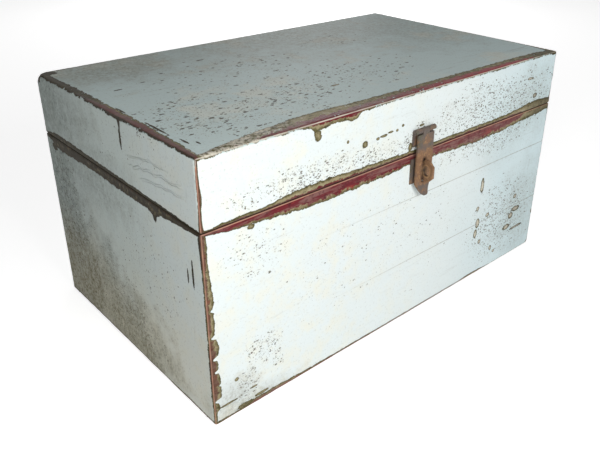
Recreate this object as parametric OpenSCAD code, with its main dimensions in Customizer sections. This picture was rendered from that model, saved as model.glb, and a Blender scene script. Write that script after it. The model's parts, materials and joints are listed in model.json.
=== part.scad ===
// Small painted wooden trunk: a planked case, a flush lid on two back hinges, and a hasp.
// X runs along the front from left to right, Y runs from the front to the back, Z is up.
// The origin is the middle of the underside of the floor. Sizes are in millimetres.

/* [Box] */
// Length of the box along its front
body_w = 500; // [380:1:640]
// Depth of the box from front to back
body_d = 298; // [220:1:400]
// Height of the case from the ground to its rim
case_h = 196; // [160:1:280]
// Height of the lid from its rim to its top
lid_h = 63.5; // [54:0.5:110]
// Gap between the rim of the case and the rim of the lid
seam_gap = 0.5; // [0.3:0.1:1.2]
// Thickness of the boards in the four walls
board_t = 15; // [13:0.5:20]
// Thickness of the floor planks
floor_t = 12; // [9:0.5:18]
// Thickness of the planks in the top of the lid
top_t = 12; // [9:0.5:18]

/* [Planks] */
// Height of the uppermost board in each wall of the case
upper_board_h = 49; // [36:0.5:60]
// Height of the middle board in each wall of the case
middle_board_h = 74.5; // [50:0.5:85]
// Width of the middle plank in the floor
floor_middle_w = 96; // [60:1:120]
// Width of the middle plank in the top of the lid
top_middle_w = 92; // [60:1:120]

/* [Wear] */
// Rounding of the outer arrises of the box
edge_r = 2.5; // [1:0.1:4]
// Rounding of the two arrises that meet at the seam
seam_r = 1.8; // [0.8:0.1:3]
// Reach of the knocked corner of the lid, at the back on the left
lid_knock = 13; // [5:0.5:13]
// Reach of the knocked foot corner, at the front on the right
foot_knock = 7; // [4:0.5:12]

/* [Pegs] */
// Radius of the pegs that hold the boards together
peg_r = 2; // [1.5:0.1:2.5]
// Length of each peg
peg_len = 34; // [28:1:50]
// Depth at which each peg's head is sunk in the board and painted over
peg_sunk = 2; // [1:0.5:4]
// Distance of the outer pegs in a long edge from the middle of the box
long_peg_x = 175; // [120:1:180]
// Distance of the inner pegs in a long edge from the middle of the box
inner_peg_x = 60; // [30:1:90]
// Distance of the pegs in a short edge from the middle of the box
short_peg_y = 64; // [30:1:85]

/* [Back hinges] */
// Distance of each hinge from the middle of the box
hinge_x = 150; // [90:1:155]
// Length of a hinge along the seam
hinge_w = 44; // [30:1:60]
// Reach of each leaf from the axis of its pin
hinge_leaf_h = 22; // [18:0.5:28]
// Thickness of a hinge leaf
hinge_leaf_t = 1.3; // [1:0.1:1.5]
// Outer radius of the hinge knuckles
hinge_knuckle_r = 2.8; // [2.6:0.1:3.4]
// Radius of a hinge pin
hinge_pin_r = 1.5; // [1:0.05:1.6]
// Length of the knuckle in the middle, which belongs to the lid
hinge_middle_w = 16; // [10:1:20]
// Distance of each leaf's screws from the middle of the leaf
hinge_screw_x = 13; // [8:0.5:18]

/* [Hasp] */
// Distance of the hasp from the middle of the front, to the right
hasp_x = 10; // [-40:1:40]
// Height of the hasp's pin over the rim of the lid
hasp_rise = 24; // [20:0.5:30]
// Width of the leaf that is screwed to the lid
hasp_leaf_w = 30; // [28:0.5:40]
// Reach of that leaf below the pin
hasp_leaf_h = 16; // [14:0.5:18]
// Thickness of that leaf
hasp_leaf_t = 1.4; // [1:0.1:1.5]
// Outer radius of the hasp's knuckles
hasp_knuckle_r = 2.6; // [2.4:0.1:3.4]
// Radius of the hasp's pin
hasp_pin_r = 1.2; // [0.9:0.05:1.4]
// Length of the strap's knuckle in the middle of the barrel
hasp_middle_w = 10; // [7:0.5:14]
// Distance of the leaf's screws from its middle line
hasp_screw_x = 9.5; // [8.5:0.1:11]
// Width of the strap
strap_w = 24; // [20:0.5:28]
// Thickness of the strap
strap_t = 1.8; // [1.2:0.1:2.2]
// Length of the tongue below the slot, along its curve
tongue_len = 15; // [10:0.5:24]
// Radius of the tongue's outward curl
tongue_curl_r = 22; // [16:1:60]
// Radius of the tongue's round tip
tongue_tip_r = 6; // [4:0.5:9]

/* [Staple] */
// Distance of the staple's middle below the rim of the case
staple_drop = 18; // [15:0.5:24]
// Height of the staple
staple_h = 23; // [18:0.5:28]
// Reach of the staple out from the case
staple_out = 18; // [16:0.5:24]
// Thickness of the staple
staple_t = 3.2; // [2:0.1:4]
// Cut across each corner of the staple
staple_corner = 5.5; // [3:0.5:6]
// Width of the eye, from the strap outwards
eye_w = 8; // [6:0.5:9]
// Height of the eye
eye_h = 10.5; // [9.5:0.5:13]
// Width of the staple's plate
plate_w = 31; // [28:0.5:40]
// Height of the staple's plate
plate_h = 27; // [24:0.5:30]
// Thickness of the staple's plate
plate_t = 1.4; // [1:0.1:1.5]
// Height of the tang that holds the staple in its plate
tang_h = 9; // [6:0.5:11]
// Distance of the plate's screws from the middle, sideways
plate_screw_x = 10; // [8:0.5:11]
// Distance of the plate's screws from the middle, up and down
plate_screw_z = 8; // [6:0.5:9]

/* [Screws] */
// Radius of a screw's head
screw_head_r = 2.5; // [2:0.1:2.7]
// Radius of a screw's shank
screw_shank_r = 1.3; // [1:0.1:1.6]
// Length of a screw
screw_len = 11; // [8:0.5:12]
// Width of the slot in a screw's head
screw_slot_w = 0.7; // [0.5:0.1:1]
// Depth of the slot in a screw's head
screw_slot_d = 0.6; // [0.3:0.1:0.7]
// Turn of the slot from one screw to its neighbour, in degrees
screw_turn = 38; // [0:1:90]

/* [Clearances] */
// Gap between a knuckle and the wood behind it
knuckle_gap = 0.3; // [0.2:0.05:0.6]
// Gap between neighbouring knuckles
knuckle_side_gap = 0.4; // [0.2:0.05:0.8]
// Radial play of a pin in the knuckle that turns on it
pin_play = 0.05; // [0.02:0.01:0.1]
// Gap between the staple and each side of the slot
slot_side_gap = 1; // [0.5:0.1:1.5]
// Gap between the staple and each end of the slot
slot_end_gap = 1.7; // [1.4:0.1:2.5]
// Gap between the barrel and the shoulders of the strap
shoulder_gap = 0.7; // [0.4:0.1:1.2]
// Gap between the eye and the front of the strap
eye_gap = 0.2; // [0.1:0.1:1]

/* [Hidden] */
$fn = 96;

// Margin by which a cutting shape runs past what it cuts
over = 1;

// Heights of the seam, the lid and the whole box
lid_z = case_h + seam_gap;
seam_z = case_h + seam_gap / 2;
box_h = lid_z + lid_h;

// Inside size between the walls
inner_w = body_w - 2 * board_t;
inner_d = body_d - 2 * board_t;

// Lower edges of the boards in a wall of the case: upper, middle, lower
upper_z = case_h - upper_board_h;
middle_z = upper_z - middle_board_h;

// Widths of the outer planks in the floor and in the top
floor_outer_w = (inner_d - floor_middle_w) / 2;
top_outer_w = (inner_d - top_middle_w) / 2;

// Axis of the back hinges, measured out from the back
hinge_axis_out = hinge_knuckle_r + knuckle_gap;
hinge_side_w = (hinge_w - hinge_middle_w) / 2 - knuckle_side_gap;
hinge_screw_drop = (hinge_leaf_h + hinge_knuckle_r) / 2 + knuckle_gap;

// Axis of the hasp, and the strap's two faces, measured out from the front
hasp_axis_out = hasp_knuckle_r + knuckle_gap;
hasp_axis_z = lid_z + hasp_rise;
hasp_side_w = (hasp_leaf_w - hasp_middle_w) / 2 - knuckle_side_gap;
hasp_screw_drop = (hasp_leaf_h + hasp_knuckle_r) / 2;
strap_front = hasp_axis_out + hasp_knuckle_r;
strap_back = strap_front - strap_t;

// Slot in the strap, which drops over the staple
staple_z = case_h - staple_drop;
slot_w = staple_t + 2 * slot_side_gap;
slot_h = staple_h + 2 * slot_end_gap;
shoulder_z = hasp_axis_z - hasp_knuckle_r - shoulder_gap;
tongue_z = staple_z - slot_h / 2;
tongue_turn = tongue_len / tongue_curl_r * 180 / PI;
tongue_tip_z = tongue_z - tongue_curl_r * sin(tongue_turn);
eye_out = strap_front + eye_gap + eye_w / 2;

// How far inside the corner the middle of a knock's round lies, as a share of its reach
knock_centre_share = 1.35;

// Share of a board's height at which its two corner pegs stand
peg_shares = [0.25, 0.75];

// Colours of the finishes
paint = "#dfe8e6";
shaded_paint = "#a9b3b0";
bare_wood = "#b08d62";
peg_wood = "#c9a877";
rust = "#8a5a3c";
dark_iron = "#6a5754";

// Rectangle around the origin with round corners: low_r below, high_r above
module soft_rect(w, h, low_r, high_r) {
    translate([-w / 2, -h / 2 + low_r])
        square([w, h - low_r - high_r]);
    translate([-w / 2 + low_r, -h / 2])
        square([w - 2 * low_r, h / 2]);
    translate([-w / 2 + high_r, 0])
        square([w - 2 * high_r, h / 2]);
    for (side = [-1, 1]) {
        translate([side * (w / 2 - low_r), -h / 2 + low_r])
            circle(low_r);
        translate([side * (w / 2 - high_r), h / 2 - high_r])
            circle(high_r);
    }
}

// Outer skin of the case or the lid, with every outer arris worn round
module worn_skin(z, h, low_r, high_r) {
    intersection() {
        translate([0, 0, z])
            linear_extrude(h)
                soft_rect(body_w, body_d, edge_r, edge_r);
        translate([0, 0, z + h / 2])
            rotate([90, 0, 0])
                linear_extrude(body_d + 2 * over, center = true)
                    soft_rect(body_w, h, low_r, high_r);
        translate([0, 0, z + h / 2])
            rotate([90, 0, 90])
                linear_extrude(body_w + 2 * over, center = true)
                    soft_rect(body_d, h, low_r, high_r);
    }
}

// What a knock has taken off a corner, as far as reach along each arris.
// The corner is at the origin, and side gives its way inwards.
module knock(reach, side) {
    centre = knock_centre_share * reach;
    difference() {
        translate([for (s = side) s > 0 ? -over : -reach])
            cube(reach + over);
        translate(centre * side)
            sphere(norm([centre - reach, centre, centre]));
    }
}

// Pegs at the four corners, through the front and back boards into the ends
module corner_peg_set(z, h) {
    for (x = [-1, 1], y = [-1, 1], share = peg_shares)
        translate([x * (body_w - board_t) / 2, y * (body_d / 2 - peg_sunk), z + share * h])
            rotate([y * 90, 0, 0])
                cylinder(h = peg_len, r = peg_r);
}

module case_corner_peg_set() {
    corner_peg_set(0, middle_z);
    corner_peg_set(middle_z, middle_board_h);
    corner_peg_set(upper_z, upper_board_h);
}

module lid_corner_peg_set() {
    corner_peg_set(lid_z, lid_h);
}

// Pegs through the walls into the edges of a flat panel at height z
module panel_peg_set(z) {
    for (x = [-long_peg_x, -inner_peg_x, inner_peg_x, long_peg_x], y = [-1, 1])
        translate([x, y * (body_d / 2 - peg_sunk), z])
            rotate([y * 90, 0, 0])
                cylinder(h = peg_len, r = peg_r);
    for (x = [-1, 1], y = [-short_peg_y, 0, short_peg_y])
        translate([x * (body_w / 2 - peg_sunk), y, z])
            rotate([0, -x * 90, 0])
                cylinder(h = peg_len, r = peg_r);
}

module floor_peg_set() {
    panel_peg_set(floor_t / 2);
}

module top_peg_set() {
    panel_peg_set(box_h - top_t / 2);
}

// A side profile, drawn outwards and up, run along X on the front or on the back
module along_front(x, w) {
    translate([x, -body_d / 2, 0])
        rotate([90, 0, -90])
            linear_extrude(w, center = true)
                children();
}

module along_back(x, w) {
    translate([x, body_d / 2, 0])
        rotate([90, 0, 90])
            linear_extrude(w, center = true)
                children();
}

// An outline seen from the front, run out from the front by the given depth
module out_of_front(x, depth) {
    translate([x, -body_d / 2, 0])
        rotate([90, 0, 0])
            linear_extrude(depth)
                children();
}

// Solid of a countersunk screw with the top of its head at the origin, pointing down
module screw_solid(leaf_t) {
    rotate_extrude()
        polygon([
            [0, 0],
            [screw_head_r, 0],
            [screw_shank_r, -leaf_t],
            [screw_shank_r, screw_head_r - screw_len],
            [0, -screw_len]
        ]);
}

module slotted_screw(leaf_t) {
    slot_len = 2 * (screw_head_r + over);
    difference() {
        screw_solid(leaf_t);
        translate([-slot_len / 2, -screw_slot_w / 2, -screw_slot_d])
            cube([slot_len, screw_slot_w, screw_slot_d + over]);
    }
}

// Places on the front or the back, for what stands out from the wood by the given thickness
module on_front(x, z, out) {
    translate([x, -body_d / 2 - out, z])
        rotate([90, 0, 0])
            children();
}

module on_back(x, z, out) {
    translate([x, body_d / 2 + out, z])
        rotate([-90, 0, 0])
            children();
}

// Screw places: each module puts its children at every screw of its group
module at_staple_screws() {
    for (x = [-1, 1], z = [-1, 1])
        on_front(hasp_x + x * plate_screw_x, staple_z + z * plate_screw_z, plate_t)
            rotate(screw_turn * (x + 2 * z))
                children();
}

module at_hasp_screws() {
    for (x = [-1, 1])
        on_front(hasp_x + x * hasp_screw_x, hasp_axis_z - hasp_screw_drop, hasp_leaf_t)
            rotate(screw_turn * x)
                children();
}

module at_hinge_screws(side) {
    for (hinge = [-1, 1], x = [-1, 1])
        on_back(hinge * hinge_x + x * hinge_screw_x, seam_z + side * hinge_screw_drop, hinge_leaf_t)
            rotate(screw_turn * (x + 2 * hinge))
                children();
}

// One wall board of the case, from height z up by h
module case_wall_board(size_x, size_y, x, y, z, h) {
    intersection() {
        translate([x - size_x / 2, y - size_y / 2, z])
            cube([size_x, size_y, h]);
        worn_skin(0, case_h, edge_r, seam_r);
    }
}

module case_long_board(y, z, h) {
    difference() {
        case_wall_board(body_w, board_t, 0, y * (body_d - board_t) / 2, z, h);
        case_corner_peg_set();
        floor_peg_set();
    }
}

module case_end_board(x, z, h) {
    difference() {
        case_wall_board(board_t, inner_d, x * (body_w - board_t) / 2, 0, z, h);
        case_corner_peg_set();
        floor_peg_set();
    }
}

module case_front_board(z, h) {
    color(paint)
        difference() {
            case_long_board(-1, z, h);
            at_staple_screws()
                screw_solid(plate_t);
        }
}

module case_back_board(z, h) {
    color(shaded_paint)
        difference() {
            case_long_board(1, z, h);
            at_hinge_screws(-1)
                screw_solid(hinge_leaf_t);
        }
}

module case_front_upper_board() {
    case_front_board(upper_z, upper_board_h);
}

module case_front_middle_board() {
    case_front_board(middle_z, middle_board_h);
}

module case_front_lower_board() {
    difference() {
        case_front_board(0, middle_z);
        translate([body_w / 2, -body_d / 2, 0])
            knock(foot_knock, [-1, 1, 1]);
    }
}

module case_back_upper_board() {
    case_back_board(upper_z, upper_board_h);
}

module case_back_middle_board() {
    case_back_board(middle_z, middle_board_h);
}

module case_back_lower_board() {
    case_back_board(0, middle_z);
}

module case_left_upper_board() {
    color(shaded_paint)
        case_end_board(-1, upper_z, upper_board_h);
}

module case_left_middle_board() {
    color(shaded_paint)
        case_end_board(-1, middle_z, middle_board_h);
}

module case_left_lower_board() {
    color(shaded_paint)
        case_end_board(-1, 0, middle_z);
}

module case_right_upper_board() {
    color(shaded_paint)
        case_end_board(1, upper_z, upper_board_h);
}

module case_right_middle_board() {
    color(shaded_paint)
        case_end_board(1, middle_z, middle_board_h);
}

module case_right_lower_board() {
    color(shaded_paint)
        case_end_board(1, 0, middle_z);
}

// One plank of a flat panel that fits between the walls, from y forwards by w
module panel_plank(y, w, z, t) {
    translate([-inner_w / 2, y, z])
        cube([inner_w, w, t]);
}

module floor_plank(y, w) {
    color(bare_wood)
        difference() {
            panel_plank(y, w, 0, floor_t);
            floor_peg_set();
        }
}

module floor_front_plank() {
    floor_plank(-inner_d / 2, floor_outer_w);
}

module floor_middle_plank() {
    floor_plank(-floor_middle_w / 2, floor_middle_w);
}

module floor_back_plank() {
    floor_plank(floor_middle_w / 2, floor_outer_w);
}

module case_corner_pegs() {
    color(peg_wood)
        case_corner_peg_set();
}

module floor_pegs() {
    color(peg_wood)
        floor_peg_set();
}

// The staple stands on its plate, and its tang goes through the plate to the wood
module staple_plate() {
    color(dark_iron)
        difference() {
            out_of_front(hasp_x, plate_t)
                translate([-plate_w / 2, staple_z - plate_h / 2])
                    square([plate_w, plate_h]);
            staple_tang();
            at_staple_screws()
                screw_solid(plate_t);
        }
}

module staple_tang() {
    along_front(hasp_x, staple_t)
        translate([0, staple_z - tang_h / 2])
            square([plate_t, tang_h]);
}

module staple() {
    half_h = staple_h / 2;
    color(rust) {
        staple_tang();
        along_front(hasp_x, staple_t)
            difference() {
                translate([0, staple_z])
                    polygon([
                        [plate_t, staple_corner - half_h],
                        [plate_t + staple_corner, -half_h],
                        [staple_out - staple_corner, -half_h],
                        [staple_out, staple_corner - half_h],
                        [staple_out, half_h - staple_corner],
                        [staple_out - staple_corner, half_h],
                        [plate_t + staple_corner, half_h],
                        [plate_t, half_h - staple_corner]
                    ]);
                translate([eye_out, staple_z])
                    eye_outline();
            }
    }
}

// Upright oval of the eye
module eye_outline() {
    straight = eye_h - eye_w;
    square([eye_w, straight], center = true);
    for (end = [-1, 1])
        translate([0, end * straight / 2])
            circle(eye_w / 2);
}

module staple_screws() {
    color(dark_iron)
        at_staple_screws()
            slotted_screw(plate_t);
}

// Side profile of one hinge leaf, above the pin for side 1 and below it for side -1
module hinge_leaf_profile(side) {
    reach = hinge_leaf_h - hinge_knuckle_r - knuckle_gap;
    near = hinge_knuckle_r + knuckle_gap;
    translate([0, seam_z + (side > 0 ? near : -near - reach)])
        square([hinge_leaf_t, reach]);
}

// Side profile of a knuckle with its web to the leaf
module hinge_knuckle_profile(side, bore_r) {
    web = hinge_knuckle_r + 2 * knuckle_gap;
    difference() {
        union() {
            translate([hinge_axis_out, seam_z])
                circle(hinge_knuckle_r);
            translate([0, seam_z + (side > 0 ? 0 : -web)])
                square([hinge_leaf_t, web]);
        }
        translate([hinge_axis_out, seam_z])
            circle(bore_r);
    }
}

module hinge_case_leaf(x) {
    color(dark_iron)
        difference() {
            union() {
                along_back(x, hinge_w)
                    hinge_leaf_profile(-1);
                for (end = [-1, 1])
                    along_back(x + end * (hinge_w - hinge_side_w) / 2, hinge_side_w)
                        hinge_knuckle_profile(-1, hinge_pin_r);
            }
            at_hinge_screws(-1)
                screw_solid(hinge_leaf_t);
        }
}

module hinge_lid_leaf(x) {
    color(dark_iron)
        difference() {
            union() {
                along_back(x, hinge_w)
                    hinge_leaf_profile(1);
                along_back(x, hinge_middle_w)
                    hinge_knuckle_profile(1, hinge_pin_r + pin_play);
            }
            at_hinge_screws(1)
                screw_solid(hinge_leaf_t);
        }
}

module hinge_pin(x) {
    color(rust)
        along_back(x, hinge_w)
            translate([hinge_axis_out, seam_z])
                circle(hinge_pin_r);
}

module left_hinge_case_leaf() {
    hinge_case_leaf(-hinge_x);
}

module right_hinge_case_leaf() {
    hinge_case_leaf(hinge_x);
}

module left_hinge_lid_leaf() {
    hinge_lid_leaf(-hinge_x);
}

module right_hinge_lid_leaf() {
    hinge_lid_leaf(hinge_x);
}

module left_hinge_pin() {
    hinge_pin(-hinge_x);
}

module right_hinge_pin() {
    hinge_pin(hinge_x);
}

module case_hinge_screws() {
    color(dark_iron)
        at_hinge_screws(-1)
            slotted_screw(hinge_leaf_t);
}

module lid_hinge_screws() {
    color(dark_iron)
        at_hinge_screws(1)
            slotted_screw(hinge_leaf_t);
}

// One rail of the lid, all the way up to its top
module lid_rail(size_x, size_y, x, y) {
    difference() {
        intersection() {
            translate([x - size_x / 2, y - size_y / 2, lid_z])
                cube([size_x, size_y, lid_h]);
            worn_skin(lid_z, lid_h, seam_r, edge_r);
        }
        lid_corner_peg_set();
        top_peg_set();
    }
}

module lid_front_rail() {
    color(paint)
        difference() {
            lid_rail(body_w, board_t, 0, -(body_d - board_t) / 2);
            at_hasp_screws()
                screw_solid(hasp_leaf_t);
        }
}

module lid_back_rail() {
    color(shaded_paint)
        difference() {
            lid_rail(body_w, board_t, 0, (body_d - board_t) / 2);
            at_hinge_screws(1)
                screw_solid(hinge_leaf_t);
            translate([-body_w / 2, body_d / 2, box_h])
                knock(lid_knock, [1, -1, -1]);
        }
}

module lid_left_rail() {
    color(shaded_paint)
        lid_rail(board_t, inner_d, -(body_w - board_t) / 2, 0);
}

module lid_right_rail() {
    color(shaded_paint)
        lid_rail(board_t, inner_d, (body_w - board_t) / 2, 0);
}

module lid_plank(y, w) {
    color(shaded_paint)
        difference() {
            panel_plank(y, w, box_h - top_t, top_t);
            top_peg_set();
        }
}

module lid_front_plank() {
    lid_plank(-inner_d / 2, top_outer_w);
}

module lid_middle_plank() {
    lid_plank(-top_middle_w / 2, top_middle_w);
}

module lid_back_plank() {
    lid_plank(top_middle_w / 2, top_outer_w);
}

module lid_corner_pegs() {
    color(peg_wood)
        lid_corner_peg_set();
}

module lid_top_pegs() {
    color(peg_wood)
        top_peg_set();
}

// The hasp's leaf hangs below the barrel, behind the strap
module hasp_leaf() {
    color(dark_iron)
        difference() {
            union() {
                along_front(hasp_x, hasp_leaf_w)
                    translate([0, hasp_axis_z - hasp_leaf_h])
                        square([hasp_leaf_t, hasp_leaf_h - hasp_knuckle_r - knuckle_gap]);
                for (end = [-1, 1])
                    along_front(hasp_x + end * (hasp_leaf_w - hasp_side_w) / 2, hasp_side_w)
                        hasp_leaf_knuckle();
            }
            at_hasp_screws()
                screw_solid(hasp_leaf_t);
        }
}

module hasp_leaf_knuckle() {
    difference() {
        union() {
            translate([hasp_axis_out, hasp_axis_z])
                circle(hasp_knuckle_r);
            translate([0, hasp_axis_z - hasp_knuckle_r - 2 * knuckle_gap])
                square([hasp_leaf_t, hasp_knuckle_r + 2 * knuckle_gap]);
        }
        translate([hasp_axis_out, hasp_axis_z])
            circle(hasp_pin_r);
    }
}

module hasp_leaf_screws() {
    color(dark_iron)
        at_hasp_screws()
            slotted_screw(hasp_leaf_t);
}

module hasp_pin() {
    color(dark_iron)
        along_front(hasp_x, hasp_leaf_w)
            translate([hasp_axis_out, hasp_axis_z])
                circle(hasp_pin_r);
}

// Side profile of the strap below its neck: a flat run, then the tongue's curl
module strap_profile() {
    curl_mid = strap_back + strap_t / 2 + tongue_curl_r;
    translate([strap_back, tongue_z])
        square([strap_t, shoulder_z - tongue_z]);
    intersection() {
        translate([curl_mid, tongue_z])
            difference() {
                circle(tongue_curl_r + strap_t / 2);
                circle(tongue_curl_r - strap_t / 2);
            }
        translate([curl_mid, tongue_z])
            polygon([
                [0, 0],
                [-2 * tongue_curl_r, 0],
                2 * tongue_curl_r * [-1, -tan(tongue_turn)]
            ]);
    }
}

// The strap's outline seen from the front: square shoulders, then a taper to a round tip
module strap_outline() {
    half_w = strap_w / 2;
    tip_z = tongue_tip_z + tongue_tip_r;
    slope = atan2(tongue_z - tip_z, half_w) - acos(tongue_tip_r / norm([half_w, tongue_z - tip_z]));
    tangent = tongue_tip_r * [cos(slope), sin(slope)];
    polygon([
        [-half_w, shoulder_z],
        [-half_w, tongue_z],
        [-tangent.x, tip_z + tangent.y],
        [tangent.x, tip_z + tangent.y],
        [half_w, tongue_z],
        [half_w, shoulder_z]
    ]);
    translate([0, tip_z])
        circle(tongue_tip_r);
}

module strap_neck_profile() {
    translate([hasp_axis_out, hasp_axis_z])
        circle(hasp_knuckle_r);
    translate([strap_back, shoulder_z - over])
        square([strap_t, hasp_axis_z - shoulder_z + over]);
}

module hasp_strap() {
    color(rust)
        difference() {
            union() {
                intersection() {
                    along_front(hasp_x, strap_w)
                        strap_profile();
                    out_of_front(hasp_x, strap_front + tongue_len)
                        strap_outline();
                }
                along_front(hasp_x, hasp_middle_w)
                    strap_neck_profile();
            }
            along_front(hasp_x, hasp_middle_w + 2 * over)
                translate([hasp_axis_out, hasp_axis_z])
                    circle(hasp_pin_r + pin_play);
            out_of_front(hasp_x, strap_front + over)
                translate([0, staple_z])
                    square([slot_w, slot_h], center = true);
        }
}

case_front_upper_board();
case_front_middle_board();
case_front_lower_board();
case_back_upper_board();
case_back_middle_board();
case_back_lower_board();
case_left_upper_board();
case_left_middle_board();
case_left_lower_board();
case_right_upper_board();
case_right_middle_board();
case_right_lower_board();
floor_front_plank();
floor_middle_plank();
floor_back_plank();
case_corner_pegs();
floor_pegs();
staple_plate();
staple();
staple_screws();
left_hinge_case_leaf();
right_hinge_case_leaf();
case_hinge_screws();
left_hinge_pin();
right_hinge_pin();
lid_front_rail();
lid_back_rail();
lid_left_rail();
lid_right_rail();
lid_front_plank();
lid_middle_plank();
lid_back_plank();
lid_corner_pegs();
lid_top_pegs();
left_hinge_lid_leaf();
right_hinge_lid_leaf();
lid_hinge_screws();
hasp_leaf();
hasp_leaf_screws();
hasp_pin();
hasp_strap();
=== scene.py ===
"""The looks of a small painted wooden trunk: worn boards, a rusty hasp and two back hinges.

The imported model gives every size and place. Each board is modelled again over its own solid, with
worn arrises, and wears one paint finish that is rubbed through to olive, red and bare wood.
"""

import json
import logging
import math
from dataclasses import dataclass
from enum import Enum
from typing import Callable, Iterable, Union

import bmesh
import bpy
from mathutils import Matrix, Vector


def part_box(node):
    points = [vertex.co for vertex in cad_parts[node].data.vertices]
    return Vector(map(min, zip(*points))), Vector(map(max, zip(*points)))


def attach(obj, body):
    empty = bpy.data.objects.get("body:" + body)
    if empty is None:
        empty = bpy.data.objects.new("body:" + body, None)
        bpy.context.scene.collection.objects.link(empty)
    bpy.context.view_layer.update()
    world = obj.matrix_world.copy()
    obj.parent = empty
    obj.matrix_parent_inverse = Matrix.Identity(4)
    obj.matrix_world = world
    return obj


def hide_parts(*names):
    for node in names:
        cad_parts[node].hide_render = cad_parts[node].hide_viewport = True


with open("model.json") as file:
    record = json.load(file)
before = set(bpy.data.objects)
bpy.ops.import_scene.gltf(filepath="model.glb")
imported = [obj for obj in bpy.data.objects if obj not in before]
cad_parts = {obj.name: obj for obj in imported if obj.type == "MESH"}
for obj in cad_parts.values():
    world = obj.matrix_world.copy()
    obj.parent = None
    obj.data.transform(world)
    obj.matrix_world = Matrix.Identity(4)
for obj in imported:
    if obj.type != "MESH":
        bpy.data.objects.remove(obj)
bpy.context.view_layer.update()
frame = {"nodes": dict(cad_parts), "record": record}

log = logging.getLogger("trunk")

MM = 0.001
WEAR_SPARE = 2
CHIP_DEEP, SCRATCH_DEEP, PATCH_DEEP = 9, 6, 30
ON_FACE, INSIDE = (2.4, 1.2), (2.0, 3.0)
ALONG_GRAIN = (0.1, 1.0, 1.0)
EYE_OUT, STRAP_OUT = 8.3, 4.0
SMOOTH_BELOW, FLAT_BELOW = math.radians(35), math.radians(1)
TOUCHING, ON_SIDE, ALIGNED = 1e-5, 1e-6, 0.99
SKIN, SEAM_FREE, RIM_FREE = 1.2, 2.5, 1.0
LACUNARITY = 2.0
WHITE = (1.0, 1.0, 1.0, 1.0)


def srgb(red: int, green: int, blue: int) -> tuple[float, float, float, float]:
    """Turns a colour as seen on a screen into the linear colour that a shader takes.

    Args:
        red: Red from 0 to 255.
        green: Green from 0 to 255.
        blue: Blue from 0 to 255.

    Returns:
        The linear colour with full alpha.
    """
    shares = (level / 255 for level in (red, green, blue))
    linear = (share / 12.92 if share <= 0.04045 else ((share + 0.055) / 1.055) ** 2.4 for share in shares)
    return (*linear, 1.0)


class Body(Enum):
    """The bodies that pieces ride on."""

    CASE = "case"
    LID = "lid"
    STRAP = "strap"


class Slot(Enum):
    """The finishes that the record names."""

    PAINTED = "painted_wood"
    BARE = "bare_wood"
    PEG = "peg_wood"
    RUSTY = "rusty_iron"
    DARK = "dark_iron"


class Axis(Enum):
    """The three directions of the frame, by their place in a vector."""

    X = 0
    Y = 1
    Z = 2


@dataclass(frozen=True)
class TrunkSize:
    """The outer planes of the trunk, in millimetres.

    The middle of the underside is the origin, so the sides stand at plus and minus the half sizes.
    """

    half_w: float
    half_d: float
    rim_z: float
    lid_z: float
    top_z: float
    joints: tuple[float, float]

    @classmethod
    def from_frame(cls) -> "TrunkSize":
        """Reads the planes from the boards of the frame.

        Returns:
            The planes.
        """
        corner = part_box("case_back_upper_board")[1]
        lid_low, lid_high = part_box("lid_back_rail")
        joints = tuple(end.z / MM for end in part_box("case_front_middle_board"))
        return cls(*(part / MM for part in (*corner, lid_low.z, lid_high.z)), joints)

    @property
    def seam_z(self) -> float:
        """The middle of the seam between the case and the lid."""
        return (self.rim_z + self.lid_z) / 2

    def plane(self, face: "Face") -> float:
        """Finds where a face stands on its own axis.

        Args:
            face: The face, or the seam.

        Returns:
            Its place, in millimetres.
        """
        axis, way = face.value
        if way == 0:
            return self.seam_z
        return 0.0 if face is Face.FOOT else way * (self.half_w, self.half_d, self.top_z)[axis]

    def inside(self, face: "Face", parts: tuple) -> "Signal":
        """Measures how far a point lies inside a face.

        Args:
            face: The face. The seam counts both ways.
            parts: The point's three parts, in millimetres.

        Returns:
            The distance, in millimetres.
        """
        axis, way = face.value
        if way == 0:
            return abs(parts[axis] - self.seam_z)
        return parts[axis] - self.plane(face) if way < 0 else self.plane(face) - parts[axis]

    def planes(self) -> list[tuple[Axis, float, bool]]:
        """Lists the outer planes.

        Returns:
            The axis of each, its place in metres and whether it is a rim.
        """
        outer = [face for face in Face if face is not Face.SEAM]
        faces = [(Axis(face.value[0]), self.plane(face) * MM, False) for face in outer]
        return faces + [(Axis.Z, z * MM, True) for z in (self.rim_z, self.lid_z)]


Number = Union[float, "Signal"]
Points = tuple[tuple[float, float], ...]


def binary(operation: str, flipped: bool = False) -> Callable[["Signal", Number], "Signal"]:
    """Makes one of the methods by which a signal joins another value.

    Args:
        operation: The operation of the math node.
        flipped: Whether the other value comes first.

    Returns:
        The method.
    """
    def method(self: "Signal", other: Number) -> "Signal":
        """Adds the math node and returns its result."""
        return self.graph.math(operation, *((other, self) if flipped else (self, other)))
    return method


@dataclass(frozen=True)
class Signal:
    """A value that changes over a surface. Arithmetic on it adds math nodes to its graph."""

    graph: "Graph"
    socket: bpy.types.NodeSocket

    __add__ = binary("ADD")
    __radd__ = binary("ADD", flipped=True)
    __sub__ = binary("SUBTRACT")
    __rsub__ = binary("SUBTRACT", flipped=True)
    __mul__ = binary("MULTIPLY")
    __truediv__ = binary("DIVIDE")
    at_least = binary("MAXIMUM")
    at_most = binary("MINIMUM")
    above = binary("GREATER_THAN")

    def __abs__(self) -> "Signal":
        """The size of this without its sign."""
        return self.graph.math("ABSOLUTE", self)

    def rise(self, start: float, end: float) -> "Signal":
        """Goes smoothly from 0 at start to 1 at end, and stays there. Start may be above end.

        Args:
            start: The value that gives 0.
            end: The value that gives 1.

        Returns:
            A number from 0 to 1.
        """
        limits = (start, end, 0.0, 1.0) if start < end else (end, start, 1.0, 0.0)
        return self.graph.compute("ShaderNodeMapRange", self, *limits, interpolation_type="SMOOTHSTEP")


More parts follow.
